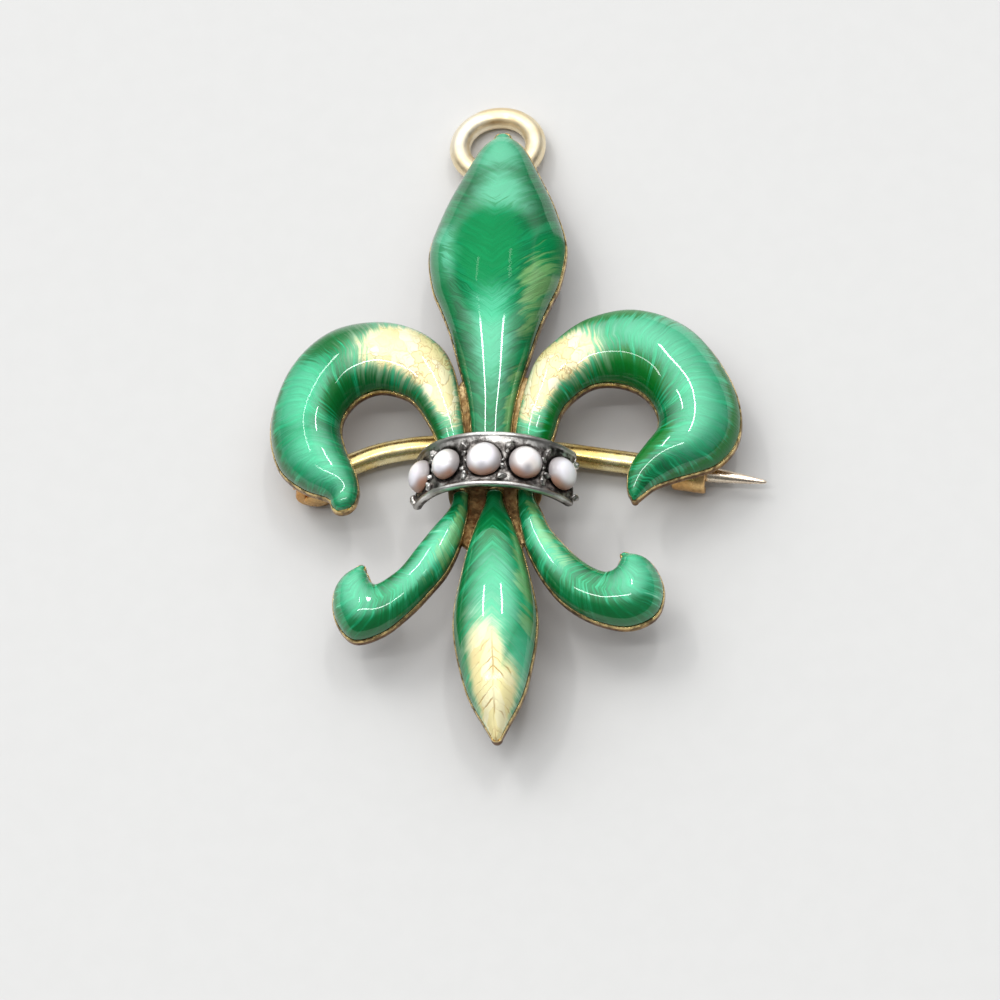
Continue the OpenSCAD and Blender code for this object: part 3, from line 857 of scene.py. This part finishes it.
for name, petal, node in (
    ("topPetal", topPetal, "enamel_top_petal"),
    ("bottomPetal", bottomPetal, "enamel_bottom_petal"),
    ("leftWing", leftWing, "enamel_left_petal"),
    ("rightWing", rightWing, "enamel_right_petal"),
    ("leftScroll", leftScroll, "enamel_left_scroll"),
    ("rightScroll", rightScroll, "enamel_right_scroll"),
):
    makePetal(name, petal, node)
print("petals made")


# gold between the petals

web = {
    # columns: place along the flower, half width
    "rows": [
        (4.95, 1.0), (4.67, 1.6), (3.6, 1.78), (2.25, 2.06), (0.6, 2.08), (-0.97, 2.06),
        (-1.7, 1.75), (-2.25, 1.57), (-3.0, 1.6), (-3.4, 1.3), (-3.62, 0.6),
    ],
    "foot": 0.1,
    "top": 0.4,
    "columns": 40,
    "rough": 0.09,
    "lumpScale": 3.2,
    "sideDrop": 0.1,
}


def makeWeb():
    rings = []
    for y, half in smoothRows(web["rows"], 6):
        top = []
        for k in range(web["columns"] + 1):
            x = half * (2 * k / web["columns"] - 1)
            lump = web["rough"] * noise.fractal(Vector((x, y, 3.0)) * web["lumpScale"], 0.8, 2.0, 3)
            edge = min(1, (1 - abs(x) / half) * 8)
            drop = web["sideDrop"] * (1 - edge) ** 2
            top.append(Vector((x, y, backAt(x, y) + web["top"] + lump - drop)))
        under = [half * share for share in (1, 0.33, -0.33, -1)]
        rings.append(top + [Vector((x, y, backAt(x, y) + web["foot"])) for x in under])
    finishPiece("web", loftRings(rings), webMaterial)


makeWeb()

# band and pearls

band = {
    "middle": Vector((0.1, -0.2, 1.7)),
    "roll": -5.0,
    "skew": -4.0,
    "radius": 3.83,
    "thick": 0.42,
    "width": 2.6,
    "half": 69.0,
    "edgeWide": 0.17,
    "edgeHigh": 0.08,
    "seatDeep": 0.2,
    "shoulder": (0.62, 0.4),
    "rough": 0.04,
    "lumpScale": 2.3,
    "turns": 132,
    "across": 44,
}
pearl = {"count": 5, "radius": 0.77, "step": 27.5, "rise": 0.58, "bed": 0.2, "down": -0.06}


def onBand(degrees):
    return (
        Matrix.Translation(band["middle"])
        @ Matrix.Rotation(radians(band["skew"]), 4, "Z")
        @ Matrix.Rotation(radians(band["roll"] + degrees), 4, "Y")
    )


pearlAngles = [(i - (pearl["count"] - 1) / 2) * pearl["step"] for i in range(pearl["count"])]

bandLook = {
    "recess": [(0.0, "#2C2927"), (0.5, "#5C5754"), (1.0, "#A09A95")],
    "worn": [(0.0, "#9C9894"), (0.6, "#C6C3BE"), (1.0, "#F6F4F0")],
    "bump": 0.5,
    "bumpDepth": 0.06,
}


def silverMaterial(name):
    material, tree, shader = newMaterial(name)
    worn = parted(tree, flowOf(tree))["X"]
    place = objectPlace(tree)
    pits = noiseOf(tree, place, 2.6 / mm, 4.0, 0.65)
    cloud = noiseOf(tree, place, 0.7 / mm, 3.0)
    dark = rampOf(tree, mapped(tree, pits, 0.3, 0.7), bandLook["recess"])
    bright = rampOf(tree, mapped(tree, cloud, 0.3, 0.7), bandLook["worn"])
    mask = maths(tree, "MULTIPLY_ADD", maths(tree, "SUBTRACT", pits, 0.5), 1.1, worn)
    mask = mapped(tree, mask, 0.3, 0.8)
    tree.links.new(mixColours(tree, mask, dark, bright), shader.inputs["Base Color"])
    rough = mapped(tree, mask, 0.0, 1.0, 0.5, 0.3)
    tree.links.new(rough, shader.inputs["Roughness"])
    raised(tree, shader, pits, bandLook["bump"], bandLook["bumpDepth"] * mm)
    shader.inputs["Metallic"].default_value = 1.0
    return material


silver = silverMaterial("oxidisedSilver")


def bandHeight(degrees, y):
    # radius of the band's face and how worn it is at an angle and a place across it
    half = band["width"] / 2
    edge = half - abs(y)
    rim = smoothStep(band["edgeWide"] + 0.1, band["edgeWide"] - 0.02, edge)
    shoulder = smoothStep(*band["shoulder"], edge) * (0.45 if y > 0 else 0.15)
    rough = noise.fractal(Vector((degrees * 0.067, y, 1.0)) * band["lumpScale"], 0.8, 2.0, 3)
    radius = band["radius"] + band["edgeHigh"] * rim + band["rough"] * rough * (1 - 0.7 * rim - shoulder)
    worn = rim * 0.9 + shoulder + 0.15 + 0.25 * rough
    for angle in pearlAngles:
        far = sqrt((radians(degrees - angle) * band["radius"]) ** 2 + (y - pearl["down"]) ** 2)
        seat = smoothStep(pearl["radius"] + 0.1, pearl["radius"] - 0.06, far)
        radius -= band["seatDeep"] * seat
        worn -= 0.6 * smoothStep(pearl["radius"] + 0.16, pearl["radius"], far) * (1 - rim)
    return radius, max(worn, 0)


def makeBand():
    rings, flows = [], []
    turns, across = band["turns"], band["across"]
    for i in range(turns + 1):
        degrees = band["half"] * (2 * i / turns - 1)
        frameHere = onBand(degrees)
        end = min(i, turns - i)
        pinch = 0.06 * max(0, 2 - end) ** 2 / 4
        ring, flow = [], []
        half = band["width"] / 2 - pinch
        low = band["radius"] - band["thick"]
        for k in range(across + 1):
            y = half * (1 - 2 * k / across)
            radius, worn = bandHeight(degrees, y)
            corner = 0.05 * max(0, 1 - min(k, across - k) / 1.5)
            ring.append(frameHere @ Vector((0, y, radius - corner - pinch)))
            flow.append(Vector((worn, 0, 0)))
        for side, inset, lift in ((-1, 0, 0.25), (-1, 0.05, 0), (0, 0, 0), (1, 0.05, 0), (1, 0, 0.25)):
            ring.append(frameHere @ Vector((0, side * (half - inset), low + lift + pinch)))
            flow.append(Vector((0.25 if lift else 0.05, 0, 0)))
        rings.append(ring)
        flows.append(flow)
    finishPiece("bandStrip", loftRings(rings, flows), silver, level=1, replaced=["band"])


makeBand()

grains = {
    "radius": 0.15,
    "seed": 11,
    # columns: place across the band, share of the radius
    "rows": [(0.66, 1.15), (0.3, 0.7), (-0.1, 0.55), (-0.42, 0.9), (-0.8, 1.2)],
}


def makeGrains():
    # small rough lumps raised from the silver to hold the pearls
    pick = Random(grains["seed"])
    bm = bmesh.new()
    layer = bm.verts.layers.float_vector.new("flow")
    for i in range(pearl["count"] + 1):
        gap = (i - pearl["count"] / 2) * pearl["step"]
        for y, size in grains["rows"]:
            if i in (0, pearl["count"]) and abs(y) < 0.5:
                continue
            degrees = gap + pick.uniform(-1.8, 1.8) * (0.6 + abs(y))
            lump = grains["radius"] * size * pick.uniform(0.85, 1.2)
            step = Matrix.Translation((0, y + pick.uniform(-0.06, 0.06), band["radius"] + 0.02))
            spot = onBand(degrees) @ step @ Matrix.Rotation(pick.uniform(0, pi), 4, "Z")
            made = bmesh.ops.create_icosphere(
                bm, subdivisions=3, radius=lump, matrix=spot @ Matrix.Diagonal((1.25, 0.85, 1.0, 1))
            )["verts"]
            centre = spot.translation
            for v in made:
                v[layer] = (0.75, 0, 0)
                v.co = centre + (v.co - centre) * (1 + handmade(v.co, 7.0, 0.5))
    finishPiece("bandGrains", bm, silver)


makeGrains()

pearlLook = {
    "tones": [(0.0, "#F0E6DE"), (0.35, "#F8F3F0"), (0.65, "#FCFAF8"), (1.0, "#FFFCF4")],
    "lilac": "#E2DDEE",
    # painted shade toward the edges
    "paintedEdgeShade": "#8C8380",
    # painted warm shade low down
    "amberShade": "#B87038",
    # painted reflection, a soft dark spot
    "spot": "#8E8A90",
    "spotAt": (0.02, -0.6, 0.0),
    "shader": {
        "Roughness": 0.3,
        "Coat Weight": 0.6,
        "Coat Roughness": 0.12,
        "Subsurface Weight": 0.1,
        "Subsurface Radius": (0.4 * mm, 0.3 * mm, 0.3 * mm),
    },
    # size of each pearl and strength of its painted reflection, a dark spot low down, left to right
    "each": [(0.96, 0.0), (0.92, 0.2), (1.02, 0.5), (0.98, 0.65), (0.98, 0.1)],
}


def nacreMaterial(name):
    material, tree, shader = newMaterial(name)
    place = objectPlace(tree)
    flow = flowOf(tree)
    parts = parted(tree, flow)
    far = vectorMaths(tree, "LENGTH", joined(tree, parts["X"], parts["Y"]), output="Value")
    cloud = noiseOf(tree, place, 0.8 / mm, 3.0, 0.5, 0.6)
    colour = rampOf(tree, mapped(tree, cloud, 0.3, 0.7), pearlLook["tones"])
    tint = mapped(tree, noiseOf(tree, place, 0.55 / mm, 1.0), 0.42, 0.62, 0.0, 0.5)
    colour = mixColours(tree, tint, colour, hexColour(pearlLook["lilac"]))
    # painted shade, greyer toward the edges all round and amber low down, and a painted reflection, a dark
    # spot low on some pearls
    paintedEdgeShade = mapped(tree, maths(tree, "MULTIPLY_ADD", cloud, 0.2, far), 0.62, 1.08, 0.0, 0.85)
    colour = mixColours(tree, paintedEdgeShade, colour, hexColour(pearlLook["paintedEdgeShade"]))
    # painted warm shade, amber low down toward the edge
    low = mapped(tree, maths(tree, "MULTIPLY_ADD", cloud, 0.9, parts["Y"]), -0.35, 0.15, 1.0, 0.0)
    ring = mapped(tree, far, 0.62, 0.98, 0.0, 0.6)
    colour = mixColours(tree, maths(tree, "MULTIPLY", low, ring), colour, hexColour(pearlLook["amberShade"]))
    # painted reflection: a soft dark spot low on some pearls
    away = vectorMaths(tree, "SUBTRACT", flow, pearlLook["spotAt"])
    away = vectorMaths(tree, "MULTIPLY", away, (1.0, 1.0, 0.0))
    away = vectorMaths(tree, "LENGTH", away, output="Value")
    spot = maths(tree, "MULTIPLY", mapped(tree, away, 0.0, 0.45, 1.0, 0.0), parts["Z"])
    colour = mixColours(tree, spot, colour, hexColour(pearlLook["spot"]))
    tree.links.new(colour, shader.inputs["Base Color"])
    setSockets(shader, pearlLook["shader"])
    return material


nacre = nacreMaterial("nacre")


def makePearls():
    for i, (size, spot) in enumerate(pearlLook["each"]):
        bm = bmesh.new()
        flow = bm.verts.layers.float_vector.new("flow")
        radius = pearl["radius"] * size
        bmesh.ops.create_uvsphere(bm, u_segments=64, v_segments=40, radius=radius)
        for v in bm.verts:
            v[flow] = Vector((v.co.x / radius, v.co.y / radius, spot if v.co.z > 0 else 0))
            v.co *= 1 + handmade(v.co + Vector((i * 7.0, 0, 0)), 1.1, 0.04)
            v.co.z *= (pearl["rise"] if v.co.z > 0 else pearl["bed"]) / radius
        spotOnBand = onBand(pearlAngles[i]) @ Matrix.Translation((0, pearl["down"], band["radius"]))
        bmesh.ops.transform(bm, matrix=spotOnBand, verts=bm.verts)
        finishPiece(f"pearl{i + 1}", bm, nacre, replaced=[f"pearl_{i + 1}"])


makePearls()
print("band and pearls made")

# ring, hinge, catch and hook of the body

ring = {"middle": (-0.15, 17.843, 0.835), "radius": 1.73, "wire": 0.475, "tilt": -12.0}


def makeRing():
    bm = bmesh.new()
    bmesh.ops.create_circle(
        bm,
        segments=28,
        radius=ring["wire"],
        matrix=Matrix.Translation((ring["radius"], 0, 0)) @ Matrix.Rotation(pi / 2, 4, "X"),
    )
    bmesh.ops.spin(
        bm, geom=bm.edges[:], axis=(0, 0, 1), cent=(0, 0, 0), steps=96, angle=2 * pi, use_merge=True
    )
    bmesh.ops.transform(
        bm,
        matrix=Matrix.Translation(ring["middle"]) @ Matrix.Rotation(radians(ring["tilt"]), 4, "X"),
        verts=bm.verts,
    )
    finishPiece("topRing", bm, ringMaterial)


makeRing()


def softenEdges(bm, edges, width):
    bmesh.ops.bevel(
        bm,
        geom=edges,
        offset=width,
        offset_type="OFFSET",
        segments=3,
        profile=0.5,
        affect="EDGES",
        material=-1,
    )


def addBlock(bm, low, high, soften=0.06):
    low, high = Vector(low), Vector(high)
    made = bmesh.ops.create_cube(
        bm,
        size=1,
        matrix=Matrix.Translation((low + high) / 2) @ Matrix.Diagonal((*(high - low), 1)),
    )["verts"]
    softenEdges(bm, list({e for v in made for e in v.link_edges}), soften)


def addDrum(bm, radius, length, place, soften=0.06):
    made = bmesh.ops.create_cone(
        bm,
        cap_ends=True,
        segments=48,
        radius1=radius,
        radius2=radius,
        depth=length,
        matrix=place,
    )["verts"]
    # its rims lie between a cap, which has more than four corners, and a side face
    edges = {e for v in made for e in v.link_edges}
    rims = [e for e in edges if {len(f.verts) > 4 for f in e.link_faces} == {True, False}]
    softenEdges(bm, rims, soften)


hinge = {
    "x": -8.3,
    "y": 1.8,
    "radius": 0.9,
    "knuckle": 0.8,
    "stemKnuckle": 0.9,
    "gap": 0.06,
    "rivet": 0.33,
    "head": 0.52,
    "headThick": 0.14,
}
hingeHalf = hinge["stemKnuckle"] / 2 + hinge["gap"] + hinge["knuckle"]
hingeTop = backAt(hinge["x"], hinge["y"]) + 0.2


def onHinge(y):
    # the place of a drum on the hinge's axis, its length along Y
    return Matrix.Translation((hinge["x"], y, hinge["radius"])) @ Matrix.Rotation(pi / 2, 4, "X")


def makeHinge():
    bm = bmesh.new()
    for side in (-1, 1):
        y = hinge["y"] + side * (hingeHalf - hinge["knuckle"] / 2)
        addDrum(bm, hinge["radius"], hinge["knuckle"], onHinge(y))
        addBlock(
            bm,
            (hinge["x"] - 0.72, y - hinge["knuckle"] / 2 + 0.02, hinge["radius"]),
            (hinge["x"] + 0.72, y + hinge["knuckle"] / 2 - 0.02, hingeTop - 0.1),
        )
    addBlock(
        bm,
        (hinge["x"] - hinge["radius"], hinge["y"] - hingeHalf, 2 * hinge["radius"]),
        (hinge["x"] + hinge["radius"], hinge["y"] + hingeHalf, hingeTop),
    )
    finishPiece("hingeKnuckles", bm, goldMaterial)
    bm = bmesh.new()
    for side in (-1, 1):
        y = hinge["y"] + side * (hingeHalf + 0.05 + hinge["headThick"] / 2)
        addDrum(bm, hinge["head"], hinge["headThick"], onHinge(y), 0.05)
    addDrum(bm, hinge["rivet"], 2 * hingeHalf + 0.1, onHinge(hinge["y"]), 0.02)
    finishPiece("rivet", bm, goldMaterial, replaced=["hinge_rivet"])


makeHinge()

stem = {
    "tip": Vector((11.8, 0.21, 0.9)),
    "slope": 11.8,
    "radius": 0.5,
    "taper": 4.4,
    # radius at the very end, and how full the taper is: 1 is straight
    "point": 0.06,
    "fullness": 0.75,
    "straight": 9.2,
    # columns: share of the hinge's reach, step toward the ring
    "bend": [
        (-0.9, 0.0), (-0.88, 0.0), (-0.79, 0.32), (-0.67, 0.66), (-0.54, 0.86), (-0.4, 0.95), (-0.2, 0.89),
    ],
}


def onStem(back):
    slope = radians(stem["slope"])
    return stem["tip"] + Vector((-back * cos(slope), back * sin(slope), 0))


def makeStem():
    bend = [(-hinge["x"] * share, hinge["y"] + y) for share, y in stem["bend"]]
    far = onStem(stem["straight"])
    rows = smoothRows(bend + [(far.x, far.y)], 8)
    path = [Vector((x, y, hinge["radius"])) for x, y in rows]
    radii = [stem["radius"]] * len(path)
    back = stem["straight"] - 0.4
    while back > 0.02:
        path.append(onStem(back))
        full = min(1, back / stem["taper"]) ** stem["fullness"]
        radii.append(stem["point"] + (stem["radius"] - stem["point"]) * full)
        back -= 0.3 if back > stem["taper"] + 0.3 else 0.12
    for past, narrow in ((0.0, 0.8), (-0.03, 0.35)):
        path.append(onStem(past))
        radii.append(stem["point"] * narrow)
    # thinner where it is rolled into the knuckle
    for i, narrow in enumerate((0.7, 0.84, 0.88)):
        radii[i] *= narrow
    bm = loftRings(sweptRings(path, radii, 32))
    addDrum(bm, hinge["radius"] - 0.05, hinge["stemKnuckle"], onHinge(hinge["y"]))
    finishPiece("stem", bm, stemMaterial, body="stem", replaced=["pin_stem"])


makeStem()

catch = {
    "back": 3.371,
    "length": 1.5,
    "outer": 0.9,
    "inner": 0.6,
    "start": -32.0,
    "end": 215.0,
    "foot": 0.8,
    "turns": 40,
    # columns: share of the strip's length, share of its thickness
    "section": [
        (-0.5, 0.2), (-0.47, 0.05), (-0.4, 0.0), (0.4, 0.0), (0.47, 0.05), (0.5, 0.2),
        (0.5, 0.8), (0.47, 0.95), (0.4, 1.0), (-0.4, 1.0), (-0.47, 0.95), (-0.5, 0.8),
    ],
}


def makeCatch():
    # a strip rolled into a C round the stem, open toward the bottom petal
    slope = radians(stem["slope"])
    here = onStem(catch["back"])
    turned = Matrix.Translation(here) @ Matrix.Rotation(-slope, 4, "Z")
    rings = []
    turns = catch["turns"]
    for i in range(turns + 1):
        angle = radians(catch["start"] + (catch["end"] - catch["start"]) * i / turns)
        pinch = 0.08 * max(0, 2 - min(i, turns - i)) / 2
        section = []
        for x, r in catch["section"]:
            radius = catch["inner"] + (catch["outer"] - catch["inner"]) * (r * (1 - pinch) + pinch / 2)
            along = x * (catch["length"] - pinch)
            section.append(turned @ Vector((along, radius * cos(angle), radius * sin(angle))))
        rings.append(section)
    bm = loftRings(rings)
    top = backAt(here.x, here.y) + 0.2
    made = bmesh.new()
    x, y = catch["length"] / 2, catch["foot"] / 2
    addBlock(made, (-x, -y, 0.72), (x, y, top - here.z))
    bmesh.ops.transform(made, matrix=turned, verts=made.verts)
    block = bpy.data.meshes.new("catchFoot")
    made.to_mesh(block)
    made.free()
    bm.from_mesh(block)
    bpy.data.meshes.remove(block)
    finishPiece("catch", bm, goldMaterial)


makeCatch()

hook = {"y": -10.2, "radius": 0.35, "bend": 0.8, "arm": 2.3}


def makeHook():
    top = backAt(0, hook["y"]) + 0.2
    low = hook["radius"]
    path = [Vector((0, hook["y"], top)), Vector((0, hook["y"], (top + low + hook["bend"]) / 2))]
    for k in range(13):
        turn = pi / 2 * k / 12
        y = hook["y"] + hook["bend"] * (1 - cos(turn))
        path.append(Vector((0, y, low + hook["bend"] * (1 - sin(turn)))))
    end = hook["y"] + hook["bend"] + hook["arm"]
    path += [Vector((0, end - 0.9, low)), Vector((0, end - 0.3, low))]
    radii = [low] * len(path)
    for back, narrow in ((0.16, 0.96), (0.06, 0.8), (0.0, 0.45)):
        path.append(Vector((0, end - back, low)))
        radii.append(low * narrow)
    radii[0] = low * 1.3
    bm = loftRings(sweptRings(path, radii, 28))
    finishPiece("backHook", bm, goldMaterial, replaced=["fleur_body"])


makeHook()

ringSeat = {"wide": 1.7, "long": 0.9, "into": 0.25, "soften": 0.12}


def makeRingSeat():
    # the gold that holds the ring to the back of the top petal
    bm = bmesh.new()
    x = ring["middle"][0]
    y = ring["middle"][1] - ring["radius"] * cos(radians(ring["tilt"]))
    foot = ring["middle"][2] + ring["radius"] * sin(radians(-ring["tilt"])) - 0.1
    wide, long = ringSeat["wide"] / 2, ringSeat["long"] / 2
    top = backAt(0, y) + ringSeat["into"]
    addBlock(bm, (x - wide, y - long, foot), (x + wide, y + long, top), ringSeat["soften"])
    finishPiece("ringSeat", bm, goldMaterial)


makeRingSeat()
print("fittings made")

# stage, light and camera

stage = {
    "floor": "#CDCCCA",
    "speck": "#B9B8B6",
    "size": 1.2,
    "world": "#EEF0F2",
    "bright": (-0.15, 0.45, 0.88),
    "fades": (0.3, 0.97),
    "strengths": (0.15, 1.9),
}


def makeStage():
    bm = bmesh.new()
    bmesh.ops.create_grid(bm, x_segments=1, y_segments=1, size=stage["size"])
    mesh = bpy.data.meshes.new("floor")
    bm.to_mesh(mesh)
    bm.free()
    floor = bpy.data.objects.new("floor", mesh)
    bpy.context.scene.collection.objects.link(floor)
    material, tree, shader = newMaterial("paleFloor")
    tone = mapped(tree, noiseOf(tree, objectPlace(tree), 900.0, 3.0), 0.3, 0.7, 0.0, 0.06)
    colour = mixColours(tree, tone, hexColour(stage["floor"]), hexColour(stage["speck"]))
    tree.links.new(colour, shader.inputs["Base Color"])
    shader.inputs["Roughness"].default_value = 0.8
    mesh.materials.append(material)

    # a pale room, brighter overhead toward the ring end
    world = bpy.data.worlds.new("studio")
    world.use_nodes = True
    tree = world.node_tree
    toward = addNode(tree, "ShaderNodeTexCoord").outputs["Generated"]
    bright = Vector(stage["bright"]).normalized()
    facing = vectorMaths(tree, "DOT_PRODUCT", toward, bright, output="Value")
    strength = mapped(tree, facing, *stage["fades"], *stage["strengths"])
    sky = tree.nodes["Background"]
    sky.inputs["Color"].default_value = hexColour(stage["world"])
    tree.links.new(strength, sky.inputs["Strength"])
    bpy.context.scene.world = world


lamps = {
    # place of the lamp in metres, its width and length, its power, whether it shows in reflections
    "key": {"at": (-0.35, 0.45, 0.7), "size": (0.5, 0.5), "power": 1.62, "glossy": False},
    "stripLeft": {"at": (-0.178, 0.2, 0.44), "size": (0.022, 0.15), "power": 0.26, "glossy": True},
    "stripRight": {"at": (0.108, 0.2, 0.45), "size": (0.022, 0.15), "power": 0.26, "glossy": True},
    "stripOver": {"at": (-0.05, -0.09, 0.5), "size": (0.42, 0.022), "power": 0.5, "glossy": True},
}


def makeLamps():
    for name, lamp in lamps.items():
        data = bpy.data.lights.new(name, "AREA")
        data.shape = "RECTANGLE"
        data.size, data.size_y = lamp["size"]
        data.energy = lamp["power"]
        made = bpy.data.objects.new(name, data)
        made.location = lamp["at"]
        made.visible_glossy = lamp["glossy"]
        back = Vector(lamp["at"]).normalized()
        across = Vector((0, 1, 0)).cross(back).normalized()
        made.rotation_euler = Matrix((across, back.cross(across), back)).transposed().to_euler()
        bpy.context.scene.collection.objects.link(made)


# where the photograph was taken from: the direction to the lens, the scale at the
# flower's middle, and that middle's pixel in a frame of 1000 by 1000
view = {
    "toward": Vector((0.10, -0.43, 0.8973)),
    "away": 280.0,
    "pixelsPerMm": 22.73,
    "middle": Vector((0, 0, 3.9)),
    "at": (493.5, 470.0),
    "frame": 1000,
    "sensor": 36.0,
}


def makeCamera():
    toward = view["toward"].normalized()
    up = (Vector((0, 1, 0)) - toward * toward.y).normalized()
    right = up.cross(toward)
    centre = view["frame"] / 2
    slideX = (centre - view["at"][0]) / view["pixelsPerMm"]
    slideY = (centre - view["at"][1]) / view["pixelsPerMm"]
    spot = view["middle"] + toward * view["away"] + right * slideX - up * slideY
    data = bpy.data.cameras.new("camera")
    data.sensor_width = view["sensor"]
    data.lens = view["pixelsPerMm"] * view["away"] / view["frame"] * view["sensor"]
    data.clip_start = 0.01
    data.clip_end = 5
    camera = bpy.data.objects.new("camera", data)
    turn = Matrix((right, up, toward)).transposed().to_4x4()
    camera.matrix_world = Matrix.Translation(spot * mm) @ turn
    bpy.context.scene.collection.objects.link(camera)
    bpy.context.scene.camera = camera
    bpy.context.scene.view_settings.view_transform = "Standard"


makeStage()
makeLamps()
makeCamera()
print("stage, lamps and camera made")
